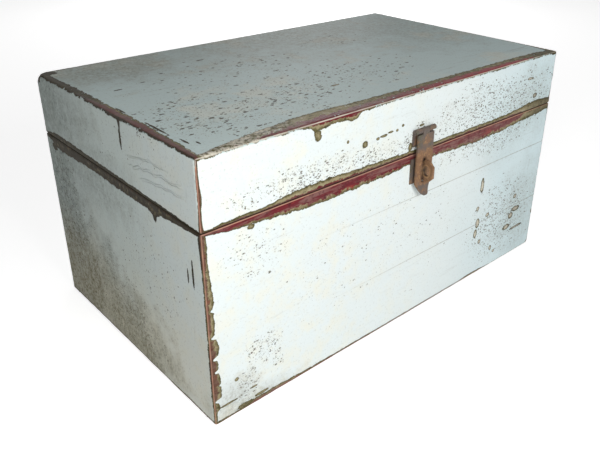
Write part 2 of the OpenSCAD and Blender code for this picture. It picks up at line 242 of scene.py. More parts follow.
def largest(signals: Iterable[Signal]) -> Signal:
    """The largest of several signals at each point.

    Args:
        signals: One or more signals of one graph.

    Returns:
        Their maximum.
    """
    first, *rest = signals
    for signal in rest:
        first = first.at_least(signal)
    return first


class Graph:
    """A node tree under construction, with a short method for each kind of node that it needs."""

    def __init__(self, tree: bpy.types.NodeTree) -> None:
        """Takes the tree to build in."""
        self.tree = tree

    def add(self, kind: str, **settings: object) -> bpy.types.Node:
        """Adds a node.

        Args:
            kind: The type name of the node.
            **settings: Properties to set on it.

        Returns:
            The new node.
        """
        node = self.tree.nodes.new(kind)
        for name, value in settings.items():
            setattr(node, name, value)
        return node

    def compute(self, kind: str, *values: object, **settings: object) -> Signal:
        """Adds a node that turns some values into another.

        Args:
            kind: The type name of the node.
            *values: Its inputs in order, without those that its settings turn off.
            **settings: Properties to set on it.

        Returns:
            Its first output.
        """
        node = self.add(kind, **settings)
        for socket, value in zip((s for s in node.inputs if s.enabled), values):
            self.feed(socket, value)
        return Signal(self, next(s for s in node.outputs if s.enabled))

    def feed(self, socket: bpy.types.NodeSocket, value: object) -> None:
        """Links a signal to a socket, or writes a constant there.

        Args:
            socket: The input of a node.
            value: The signal or the constant.
        """
        if isinstance(value, Signal):
            self.tree.links.new(value.socket, socket)
        else:
            socket.default_value = value

    def math(self, operation: str, *values: Number) -> Signal:
        """Adds a math node and gives its result."""
        return self.compute("ShaderNodeMath", *values, operation=operation)

    def vector_math(self, operation: str, *values: object) -> Signal:
        """Adds a vector math node and gives its vector, or its number for a length."""
        return self.compute("ShaderNodeVectorMath", *values, operation=operation)

    def millimetres(self) -> Signal:
        """The point on the surface in the frame's own axes, in millimetres."""
        place = Signal(self, self.add("ShaderNodeTexCoord").outputs["Object"])
        return self.vector_math("SCALE", place, 1 / MM)

    def split(self, vector: Signal) -> tuple[Signal, Signal, Signal]:
        """Takes a vector apart.

        Args:
            vector: A vector, such as a place.

        Returns:
            Its three parts.
        """
        node = self.add("ShaderNodeSeparateXYZ")
        self.feed(node.inputs[0], vector)
        return tuple(Signal(self, socket) for socket in node.outputs)

    def noise(
        self, place: Signal, size: float, detail: float = 3.0, roughness: float = 0.55,
        distortion: float = 0.0,
    ) -> Signal:
        """Adds noise whose features have about the given size.

        Args:
            place: The point to read, in millimetres.
            size: The size of its largest features, in millimetres.
            detail: The number of finer layers.
            roughness: The strength of the finer layers.
            distortion: How far the pattern is pulled about.

        Returns:
            A number around 0, mostly from -0.3 to 0.3.
        """
        values = (place, 1 / size, detail, roughness, LACUNARITY, distortion)
        return self.compute("ShaderNodeTexNoise", *values) - 0.5

    def stretch(self, place: Signal, x: float, y: float, z: float) -> Signal:
        """Scales a place, so that a pattern read there is drawn out where the factor is small."""
        return self.vector_math("MULTIPLY", place, (x, y, z))

    def shift(self, place: Signal, x: float, y: float, z: float) -> Signal:
        """Moves a place, so that a pattern read there is another part of it."""
        return self.vector_math("ADD", place, (x, y, z))

    def blend(self, share: Number, first: object, second: object) -> Signal:
        """Mixes two colours.

        Args:
            share: How much of the second colour shows, from 0 to 1.
            first: The colour at 0.
            second: The colour at 1.

        Returns:
            The mixed colour.
        """
        return self.compute("ShaderNodeMix", share, first, second, data_type="RGBA", clamp_factor=True)

    def layers(self, base: object, *coats: tuple[Number, object]) -> object:
        """Lays colours over a base, one after the other.

        Args:
            base: The colour underneath.
            *coats: The share and the colour of each coat.

        Returns:
            The colour that shows.
        """
        for share, colour in coats:
            base = self.blend(share, base, colour)
        return base

    def profile(self, along: Signal, points: Points) -> Signal:
        """Reads a value that changes along a line, such as the width of the wear along an arris.

        Args:
            along: The place along the line, in millimetres.
            points: Places on the line and the value at each.

        Returns:
            The value there.
        """
        start, length = points[0][0], points[-1][0] - points[0][0]
        most = max(value for _, value in points)
        node = self.add("ShaderNodeFloatCurve")
        self.feed(node.inputs["Value"], (along - start) / length)
        curve = node.mapping.curves[0]
        shares = [((place - start) / length, value / most) for place, value in points]
        curve.points[0].location = shares[0]
        curve.points[-1].location = shares[-1]
        for share in shares[1:-1]:
            curve.points.new(*share)
        for point in curve.points:
            point.handle_type = "AUTO_CLAMPED"
        node.mapping.update()
        return Signal(self, node.outputs[0]) * most

    def use(self, tree: bpy.types.NodeTree, **inputs: object) -> dict[str, Signal]:
        """Places a node group.

        Args:
            tree: The group's own tree.
            **inputs: Values for its inputs, with underscores for the blanks in their names.

        Returns:
            Its outputs by name.
        """
        node = self.add("ShaderNodeGroup", node_tree=tree)
        for name, value in inputs.items():
            self.feed(node.inputs[name.replace("_", " ")], value)
        return {socket.name: Signal(self, socket) for socket in node.outputs}

    def bump(self, height: Signal) -> Signal:
        """Turns a height into a normal.

        Args:
            height: The height in millimetres.

        Returns:
            The normal.
        """
        node = self.add("ShaderNodeBump")
        node.inputs["Distance"].default_value = MM
        self.feed(node.inputs["Height"], height)
        return Signal(self, node.outputs["Normal"])


class GroupGraph(Graph):
    """The tree of a shader node group, with its named inputs and outputs."""

    def __init__(self, name: str, inputs: dict[str, str]) -> None:
        """Makes an empty group.

        Args:
            name: The group's name.
            inputs: The name of each input, and whether it is a Float, Vector or Color.
        """
        super().__init__(bpy.data.node_groups.new(name, "ShaderNodeTree"))
        for label, kind in inputs.items():
            self.tree.interface.new_socket(label, in_out="INPUT", socket_type="NodeSocket" + kind)
        source = self.add("NodeGroupInput")
        self.given = {label: Signal(self, source.outputs[label]) for label in inputs}

    def give(self, **outputs: Signal) -> bpy.types.NodeTree:
        """Wires the outputs and returns the finished tree.

        Args:
            **outputs: A signal for each output, with underscores for the blanks in its name.

        Returns:
            The group's tree.
        """
        sink = self.add("NodeGroupOutput")
        for name, signal in outputs.items():
            label = name.replace("_", " ")
            kind = {"VALUE": "Float", "VECTOR": "Vector", "RGBA": "Color"}[signal.socket.type]
            self.tree.interface.new_socket(label, in_out="OUTPUT", socket_type="NodeSocket" + kind)
            self.feed(sink.inputs[label], signal)
        return self.tree


class MaterialGraph(Graph):
    """The tree of a new material, with one Principled shader."""

    def __init__(self, name: str) -> None:
        """Makes the material with only its output and its shader.

        Args:
            name: The material's name.
        """
        self.material = bpy.data.materials.new(name)
        self.material.use_nodes = True
        super().__init__(self.material.node_tree)

    def shade(self, **inputs: object) -> bpy.types.Material:
        """Feeds the shader.

        Args:
            **inputs: Values for its inputs, with underscores for the blanks in their names.

        Returns:
            The finished material.
        """
        shader = next(node for node in self.tree.nodes if node.type == "BSDF_PRINCIPLED")
        for name, value in inputs.items():
            self.feed(shader.inputs[name.replace("_", " ")], value)
        return self.material


class Effects:
    """The shader node groups that the finishes share."""

    def __init__(self) -> None:
        """Builds every group once."""
        self.arris = self._arris()
        self.spot = self._spot()
        self.specks = self._specks()
        self.grain = self._grain()
        self.rust = self._rust()

    def _arris(self) -> bpy.types.NodeTree:
        """The wear along one arris, where two faces meet.

        Flat and Drop are the distances to the two faces, and each face has its own width of wear. Shine sets
        the strength of a highlight painted along the middle of the rounded arris.

        Returns:
            The group's tree.
        """
        graph = GroupGraph("arris wear", {
            "Flat": "Float", "Drop": "Float", "Flat Width": "Float", "Drop Width": "Float",
            "Ragged": "Float", "Cover": "Float", "Shine": "Float",
        })
        given = graph.given
        flat_left = given["Flat Width"] - given["Flat"]
        drop_left = given["Drop Width"] - given["Drop"]
        slack = given["Flat Width"].at_least(given["Drop Width"]) * 0.3
        depth = flat_left.at_most(drop_left) + given["Ragged"] * slack.at_most(3.0)
        share = (flat_left / given["Flat Width"]).at_most(drop_left / given["Drop Width"])
        red = share - given["Cover"] + given["Ragged"] * 0.5
        near = given["Flat"].at_least(given["Drop"])
        # painted highlight: a pale line along the middle of the rounded arris, partly bare wood rubbed
        # through
        return graph.give(Depth=depth, Red=red, Line=near.rise(1.5, 0.85) * given["Shine"])

    def _spot(self) -> bpy.types.NodeTree:
        """A round patch around a centre: 1 in the middle and 0 at its reach.

        Returns:
            The group's tree.
        """
        graph = GroupGraph("spot", {
            "Place": "Vector", "Centre": "Vector", "Reach": "Vector", "Ragged": "Float",
        })
        given = graph.given
        away = graph.vector_math("SUBTRACT", given["Place"], given["Centre"])
        away = graph.vector_math("DIVIDE", away, given["Reach"])
        return graph.give(Mask=1.0 - graph.vector_math("LENGTH", away) + given["Ragged"])

    def _specks(self) -> bpy.types.NodeTree:
        """Small specks whose number follows Amount. Cell is their spacing in millimetres.

        Returns:
            The group's tree.
        """
        graph = GroupGraph("specks", {"Place": "Vector", "Cell": "Float", "Amount": "Float"})
        given = graph.given
        scaled = graph.vector_math("SCALE", given["Place"], graph.math("DIVIDE", 1.0, given["Cell"]))
        bent = graph.add("ShaderNodeTexNoise")
        graph.feed(bent.inputs["Vector"], scaled)
        bent.inputs["Scale"].default_value = 1.6
        pulled = graph.vector_math("ADD", scaled, Signal(graph, bent.outputs["Color"]))
        cells = graph.add("ShaderNodeTexVoronoi")
        graph.feed(cells.inputs["Vector"], pulled)
        cells.inputs["Scale"].default_value = 1.0
        chance, size, _ = graph.split(Signal(graph, cells.outputs["Color"]))
        reach = (given["Amount"] - chance).rise(0.0, 0.12) * (size * size * 0.42 + 0.12)
        mask = (reach - Signal(graph, cells.outputs["Distance"])).rise(0.0, 0.08)
        return graph.give(Mask=mask)

    def _grain(self) -> bpy.types.NodeTree:
        """Long wood grain. Place is drawn out along the grain before it comes in.

        Returns:
            The group's tree.
        """
        graph = GroupGraph("grain", {"Place": "Vector"})
        place = graph.given["Place"]
        broad = graph.noise(place, 9.0, 4.0, 0.6, 0.6)
        fine = graph.noise(place, 2.2, 3.0, 0.7)
        pores = graph.noise(place, 0.9, 1.0).rise(0.12, 0.22)
        return graph.give(Tone=broad + fine * 0.5, Pores=pores)

    def _rust(self) -> bpy.types.NodeTree:
        """Rust on old iron: a brown bloom, a paler dust and fine pits.

        Returns:
            The group's tree.
        """
        graph = GroupGraph("rust", {"Place": "Vector", "Amount": "Float"})
        given = graph.given
        bloom = (graph.noise(given["Place"], 9.0, 5.0, 0.65, 0.4) + given["Amount"]).rise(-0.1, 0.12)
        dust = graph.noise(given["Place"], 2.4, 4.0, 0.7).rise(-0.02, 0.2)
        pits = graph.noise(given["Place"], 1.1, 3.0, 0.7).rise(0.05, 0.25)
        return graph.give(Bloom=bloom, Dust=dust, Pits=pits)


@dataclass(frozen=True)
class Spot:
    """A chip, smear or patch of specks, by its centre and reach in millimetres."""

    centre: tuple[float, float, float]
    reach: tuple[float, float, float]
    amount: float = 1.0

    def near(self, low: Vector, high: Vector) -> bool:
        """Whether the spot comes within its reach of a box between two corners, in millimetres."""
        return all(low[i] - self.reach[i] < self.centre[i] < high[i] + self.reach[i] for i in range(3))


class Face(Enum):
    """The outer faces of the trunk and the seam between its halves: an axis and the way it looks."""

    LEFT = (0, -1)
    RIGHT = (0, 1)
    FRONT = (1, -1)
    BACK = (1, 1)
    FOOT = (2, -1)
    TOP = (2, 1)
    SEAM = (2, 0)


def spots(face: Face, deep: float, rows: Iterable[tuple[float, ...]]) -> tuple[Spot, ...]:
    """Makes the spots of one face.

    Args:
        face: The face.
        deep: How far they reach into it, in millimetres.
        rows: For each, its two places on the face, its two reaches, and its amount if that isn't 1.

    Returns:
        The spots.
    """
    axis, way = face.value
    made = []
    for row in rows:
        centre, reach = list(row[:2]), list(row[2:4])
        centre.insert(axis, way * (250, 149, 260)[axis])
        reach.insert(axis, deep)
        made.append(Spot(tuple(centre), tuple(reach), *row[4:]))
    return tuple(made)


@dataclass(frozen=True)
class Arris:
    """A worn arris between two faces.

    The first width is how far the wear goes in from the first face, as seen on the second face, in
    millimetres at places along the arris. Cover is the share of the band in which the olive coat still
    hides the red one, and the highlight strength that of a pale line painted along the rounded arris as a
    highlight, which partly stands for bare wood rubbed through. All were set one by one.
    """

    first: Face
    second: Face
    first_width: Points
    second_width: Points
    cover: Points
    # the strength of the highlight painted along this arris
    painted_highlight: float = 0.2
    red: float = 0.6

    @property
    def along(self) -> int:
        """The axis that the arris runs along: the one that is neither face's."""
        return sum(axis.value for axis in Axis) - self.first.value[0] - self.second.value[0]

    def near(self, low: Vector, high: Vector, size: TrunkSize) -> bool:
        """Whether the arris lies within its own wear of a wall.

        Args:
            low: The wall's lowest corner, in millimetres.
            high: Its highest corner.
            size: The planes of the trunk.

        Returns:
            True if the wall can show the wear.
        """
        for face, widths in ((self.first, self.first_width), (self.second, self.second_width)):
            axis, place = face.value[0], size.plane(face)
            reach = max(width for _, width in widths) + WEAR_SPARE
            if low[axis] - reach > place or high[axis] + reach < place:
                return False
        return True


def even(width: float) -> Points:
    """A width that is the same all along an arris."""
    return ((-250, width), (250, width))


TOP_FRONT = Arris(
    Face.FRONT, Face.TOP,
    (
        (-250, 4), (-232, 8), (-200, 14), (-160, 19), (-129, 22), (-100, 21), (-75, 19), (-30, 18),
        (20, 17), (100, 16), (155, 15), (212, 13), (240, 9), (250, 7),
    ),
    (
        (-250, 1.6), (-236, 2.6), (-228, 1.4), (-150, 1.6), (-143, 3.4), (-136, 5), (-128, 8), (-118, 6.5),
        (-104, 5), (-96, 7), (-86, 8), (-78, 4), (-66, 2.4), (-20, 1.7), (60, 1.6), (140, 1.9), (200, 1.4),
        (250, 1.4),
    ),
    (
        (-250, 0.95), (-205, 0.9), (-170, 0.62), (-120, 0.5), (-60, 0.44), (40, 0.38), (150, 0.42),
        (195, 0.66), (225, 0.95), (250, 1.0),
    ),
    painted_highlight=1.0, red=1.0,
)
TOP_LEFT = Arris(
    Face.LEFT, Face.TOP,
    (
        (-149, 5), (-136, 7), (-115, 8), (-92, 8.5), (-34, 9.5), (3, 9.5), (43, 10), (88, 9), (124, 8),
        (138, 11), (149, 13),
    ),
    ((-149, 1.6), (-60, 1.4), (-33, 1.6), (-30, 12), (-27, 2.4), (40, 1.3), (149, 1.6)),
    ((-149, 0.2), (-60, 0.16), (0, 0.25), (40, 0.5), (80, 0.8), (149, 0.95)),
    painted_highlight=0.2, red=0.9,
)
TOP_BACK = Arris(
    Face.BACK, Face.TOP,
    ((-250, 9), (-225, 5), (-150, 3.4), (0, 3), (150, 3.4), (235, 4), (250, 7)),
    ((-250, 5), (-120, 2.5), (0, 4), (140, 2), (250, 5)),
    even(0.6),
    painted_highlight=0.1,
)
TOP_RIGHT = Arris(
    Face.RIGHT, Face.TOP,
    ((-149, 12), (-130, 8), (-100, 4), (0, 3), (149, 4)),
    ((-149, 3), (-60, 5), (20, 2), (149, 4)),
    ((-149, 0.8), (149, 0.6)),
    painted_highlight=0.1,
)
SEAM_FRONT_UP = Arris(
    Face.SEAM, Face.FRONT,
    (
        (-250, 2), (-215, 4), (-185, 4.4), (-170, 6.6), (-126, 8.5), (-85, 7), (-30, 5.6), (-8, 4.8),
        (60, 5.4), (130, 5.4), (185, 7.5), (215, 10), (250, 6),
    ),
    even(6),
    ((-250, 0.45), (-200, 0.6), (0, 0.56), (140, 0.56), (200, 0.85), (250, 0.95)),
    painted_highlight=0.0, red=1.0,
)
SEAM_FRONT_DOWN = Arris(
    Face.SEAM, Face.FRONT,
    (
        (-250, 2), (-232, 4.6), (-200, 8), (-165, 10.7), (-126, 13), (-80, 12.6), (-30, 11.7), (-8, 10),
        (60, 12.3), (130, 13.5), (183, 10), (215, 9), (250, 5),
    ),
    even(6),
    (
        (-250, 0.1), (-200, 0.14), (-165, 0.2), (-100, 0.16), (0, 0.12), (120, 0.14), (180, 0.3),
        (205, 0.9), (250, 0.95),
    ),
    painted_highlight=0.9, red=1.0,
)
SEAM_LEFT_UP = Arris(
    Face.SEAM, Face.LEFT,
    ((-149, 2), (-100, 3), (-50, 4), (20, 5), (60, 6), (105, 7), (130, 5), (149, 2.5)),
    even(6),
    ((-149, 0.5), (0, 0.75), (149, 0.85)),
    painted_highlight=0.0, red=0.8,
)
SEAM_LEFT_DOWN = Arris(
    Face.SEAM, Face.LEFT,
    (
        (-149, 3), (-120, 5), (-88, 8), (-80, 12), (-77, 18), (-73, 11), (-60, 9), (-20, 9.6), (10, 9),
        (40, 8.5), (85, 10), (118, 11), (135, 5), (149, 3),
    ),
    even(6),
    ((-149, 0.5), (0, 0.7), (60, 0.8), (149, 0.85)),
    painted_highlight=0.15, red=0.8,
)
SEAM_BACK = Arris(
    Face.SEAM, Face.BACK,
    ((-250, 3), (-205, 6), (-150, 3.4), (-60, 5), (0, 3), (70, 6), (150, 3), (220, 5), (250, 3)),
    even(6),
    ((-250, 0.6), (250, 0.5)),
    painted_highlight=0.1,
)
SEAM_RIGHT = Arris(
    Face.SEAM, Face.RIGHT,
    ((-149, 5), (-110, 8), (-60, 6), (0, 9), (40, 7), (90, 9), (149, 3)),
    even(6),
    ((-149, 0.7), (149, 0.6)),
    painted_highlight=0.1,
)
CORNER_FRONT_LEFT = Arris(
    Face.LEFT, Face.FRONT,
    (
        (0, 2), (6, 2.5), (15, 3), (18, 6), (25, 5), (27, 1.6), (29, 8), (36, 9), (42, 8.6), (43, 6),
        (45, 9), (50, 9), (57, 7), (59, 3), (62, 7.5), (71, 6.5), (73, 2.5), (76, 8.5), (85, 9), (94, 6),
        (96, 2.4), (98, 5.5), (120, 6.5), (123, 3.5), (126, 7), (150, 6), (171, 4.5), (185, 5), (196, 4),
        (200, 3), (215, 2.4), (225, 3.4), (240, 2.2), (260, 2),
    ),
    ((0, 2), (60, 3), (120, 3), (172, 3.6), (190, 5), (196, 3), (225, 1.6), (260, 1.4)),
    ((0, 0.6), (30, 0.5), (50, 0.25), (66, 0.2), (90, 0.45), (140, 0.5), (200, 0.2), (260, 0.2)),
    painted_highlight=0.6, red=0.75,
)
CORNER_FRONT_RIGHT = Arris(
    Face.RIGHT, Face.FRONT,
    (
        (0, 5), (16, 2), (44, 1.8), (49, 5), (54, 1.8), (90, 1.5), (140, 2), (185, 2.5), (196, 5), (206, 4),
        (240, 1.8), (260, 4),
    ),
    ((0, 3), (40, 1.8), (120, 2.4), (190, 3), (200, 3), (260, 1.6)),
    ((0, 0.5), (130, 0.5), (260, 0.6)),
    painted_highlight=0.25,
)
CORNER_BACK_LEFT = Arris(
    Face.LEFT, Face.BACK,
    ((0, 4), (40, 2), (90, 5), (110, 2), (190, 3), (225, 2), (250, 6), (260, 9)),
    ((0, 3), (90, 2), (200, 3), (240, 3), (260, 8)),
    even(0.6),
    painted_highlight=0.15,
)
CORNER_BACK_RIGHT = Arris(
    Face.RIGHT, Face.BACK,
    ((0, 3), (60, 5), (80, 2), (150, 3), (190, 4), (220, 2), (260, 4)),
    ((0, 3), (110, 2), (135, 6), (150, 2), (200, 3), (260, 3)),
    even(0.6),
    painted_highlight=0.15,
)
FOOT_FRONT = Arris(
    Face.FOOT, Face.FRONT,
    (
        (-250, 4.4), (-225, 4), (-213, 4), (-208, 6.5), (-185, 6.5), (-160, 5.5), (-140, 4.8), (-100, 4.2),
        (0, 3.6), (95, 3.4), (125, 4.6), (150, 3), (190, 2), (235, 2), (250, 3),
    ),
    even(4),
    ((-250, 0.4), (-180, 0.3), (0, 0.35), (250, 0.5)),
    painted_highlight=0.2, red=0.8,
)
FOOT_LEFT = Arris(
    Face.FOOT, Face.LEFT,
    ((-149, 3.6), (-100, 4.4), (-60, 3.4), (40, 3.8), (149, 4)),
    even(4),
    even(0.3),
    painted_highlight=0.5,
)
FOOT_BACK = Arris(
    Face.FOOT, Face.BACK,
    ((-250, 3), (-120, 6), (-60, 2), (90, 3), (180, 5), (250, 3)),
    even(4),
    even(0.6),
)
FOOT_RIGHT = Arris(
    Face.FOOT, Face.RIGHT,
    ((-149, 5), (-90, 2), (0, 4), (60, 2), (149, 3)),
    even(4),
    even(0.6),
)

LID_ARRISES = (
    TOP_FRONT, TOP_LEFT, TOP_BACK, TOP_RIGHT, SEAM_FRONT_UP, SEAM_LEFT_UP, SEAM_BACK, SEAM_RIGHT,
    CORNER_FRONT_LEFT, CORNER_FRONT_RIGHT, CORNER_BACK_LEFT, CORNER_BACK_RIGHT,
)
CASE_ARRISES = (
    SEAM_FRONT_DOWN, SEAM_LEFT_DOWN, SEAM_BACK, SEAM_RIGHT, FOOT_FRONT, FOOT_LEFT, FOOT_BACK, FOOT_RIGHT,
    CORNER_FRONT_LEFT, CORNER_FRONT_RIGHT, CORNER_BACK_LEFT, CORNER_BACK_RIGHT,
)

CHIPS = (
    Spot((-242, 141, 258), (14, 13, 10)),
    *spots(Face.FRONT, CHIP_DEEP, (
        (127, 123, 4.6, 14), (123, 93, 3.6, 3.8), (126, 73, 4.8, 9), (124, 59, 4.4, 9), (207, 66, 13, 5),
        (198, 59, 7, 5.5), (191, 45, 10, 5), (212, 38, 20, 2.4), (202, 85, 5, 4), (145, 78, 4.4, 3.4),
        (134, 45, 3.6, 3.6), (160, 27, 3.8, 4.2), (168, 19, 3.6, 3), (-71, 224.5, 4.8, 4.8),
        (-93, 233, 2, 2), (-54, 226, 3.4, 2.2), (-46, 227, 7, 1.6), (-37, 228.5, 5, 1.5),
        (-28, 228, 2.4, 1.9), (-20, 231, 2.2, 1.9), (-129, 248, 6, 6.5), (-7, 206, 4, 6), (9, 225, 5, 1.8),
        (214, 213, 6, 4), (199, 236, 8, 2), (-202, 187, 5, 3.4), (-225, 40, 3, 3), (-234, 18, 12, 1.6),
        (-216, 6, 13, 3.4), (-198, 9, 12, 2.2), (-206, 21, 6, 1.4), (-178, 190, 4, 2.5), (249, 0, 9, 9),
    )),
    *spots(Face.LEFT, CHIP_DEEP, (
        (-29, 241, 2.4, 13), (-132, 152, 2.0, 20), (-124, 148, 1.6, 11), (128, 186, 8, 6),
    )),
    *spots(Face.TOP, SCRATCH_DEEP, (
        (-239.5, -15, 1.3, 16), (-238.5, -74, 1.6, 26), (-236.5, -114, 1.5, 10), (-230, -123, 1.3, 5),
        (-45, -80, 8, 2.0), (-213, 42, 6, 2), (-94, 85, 7, 2),
    )),
)

SPECK_PATCHES = (
    *spots(Face.FRONT, PATCH_DEEP, (
        (-10, 212, 14, 14), (10, 226, 14, 6), (172, 62, 75, 60, 0.8), (125, 181, 115, 24, 0.85),
        (135, 218, 150, 38), (-45, 208, 75, 15), (-150, 213, 100, 17, 0.95), (-196, 58, 30, 24, 0.8),
        (-214, 28, 17, 24), (-178, 40, 8, 17, 0.8), (-205, 160, 45, 36, 0.38), (-20, 110, 190, 100, 0.14),
    )),
    *spots(Face.TOP, PATCH_DEEP, (
        (-186, -76, 84, 74), (-95, -76, 95, 60), (0, -60, 110, 60, 0.6), (-100, 20, 150, 90, 0.42),
        (90, 60, 110, 60, 0.3),
    )),
    *spots(Face.LEFT, PATCH_DEEP, (
        (40, 30, 130, 85, 0.8), (110, 90, 60, 90, 0.95), (-60, 120, 90, 80, 0.22), (0, 230, 170, 60, 0.12),
    )),
    *spots(Face.BACK, PATCH_DEEP, (
        (110, 70, 120, 60, 0.7), (-120, 150, 90, 60, 0.6), (120, 235, 110, 40, 0.5),
    )),
    *spots(Face.RIGHT, PATCH_DEEP, ((20, 60, 90, 70, 0.75), (-40, 220, 90, 50, 0.5),)),
)

# Stains, and patches of painted shade: the top darker towards the back, the left end darker towards the back
# and up.
STAINS_AND_SHADE = (
    *spots(Face.FRONT, PATCH_DEEP, (
        (-228, 22, 34, 34, 0.55), (-200, 8, 60, 16, 0.4), (205, 205, 60, 60, 0.3), (215, 60, 60, 90, 0.3),
        (150, 160, 60, 30, 0.12),
    )),
    *spots(Face.LEFT, PATCH_DEEP, (
        (105, 40, 120, 120), (0, 10, 130, 80, 0.85), (150, 130, 110, 130, 0.85), (60, 180, 130, 50, 0.5),
        (150, 235, 150, 60, 0.65),
    )),
    *spots(Face.BACK, PATCH_DEEP, ((-60, 40, 170, 60, 0.6), (150, 190, 110, 50, 0.4),)),
    *spots(Face.RIGHT, PATCH_DEEP, ((60, 40, 100, 80, 0.8), (-60, 150, 70, 50, 0.4),)),
    *spots(Face.TOP, PATCH_DEEP, (
        (60, 149, 260, 190, 0.58), (190, 60, 130, 170, 0.45), (-190, 130, 120, 110, 0.65),
    )),
)

RUST_UP_THE_HASP = (
    (0, 0.5), (148, 0.36), (158, 0.38), (164, 0.62), (190, 0.66), (204, 0.5), (215, 0.42), (221, 0.24),
    (228, 0.22), (260, 0.5),
)


@dataclass(frozen=True)
class Here:
    """Where a painted point is on the trunk, and the noise that its layers share.

    Lengths are in millimetres. The three signals that begin with on go from 0 to 1 at those faces.
    """

    graph: Graph
    place: Signal
    x: Signal
    y: Signal
    z: Signal
    from_side: Signal
    from_front: Signal
    from_top: Signal
    on_end: Signal
    on_front: Signal
    on_top: Signal
    inside: Signal
    ragged: Signal
    broad: Signal
    medium: Signal
    fine: Signal
    patchy: Signal
    streak: Signal

    @classmethod
    def read(cls, graph: Graph, size: TrunkSize) -> "Here":
        """Adds the nodes that all layers share.

        Args:
            graph: The material's graph.
            size: The planes of the trunk.

        Returns:
            Their signals.
        """
        place = graph.millimetres()
        x, y, z = graph.split(place)
        insets = (size.half_w - abs(x), size.half_d - abs(y), size.top_z - z)
        return cls(
            graph, place, x, y, z, *insets, *(inset.rise(*ON_FACE) for inset in insets),
            inside=insets[0].at_most(insets[1]).at_most(insets[2]).rise(*INSIDE),
            ragged=graph.noise(place, 7.0, 5.0, 0.76, 0.3) * 2.8,
            broad=graph.noise(place, 90.0, 3.0, 0.55),
            medium=graph.noise(graph.shift(place, 31, 7, 13), 24.0, 4.0, 0.62),
            fine=graph.noise(place, 2.4, 2.0, 0.6),
            patchy=graph.noise(graph.shift(place, 3, 50, 8), 5.0, 4.0, 0.7),
            streak=graph.noise(graph.stretch(place, 0.12, 0.12, 0.9), 4.0, 4.0, 0.65),
        )


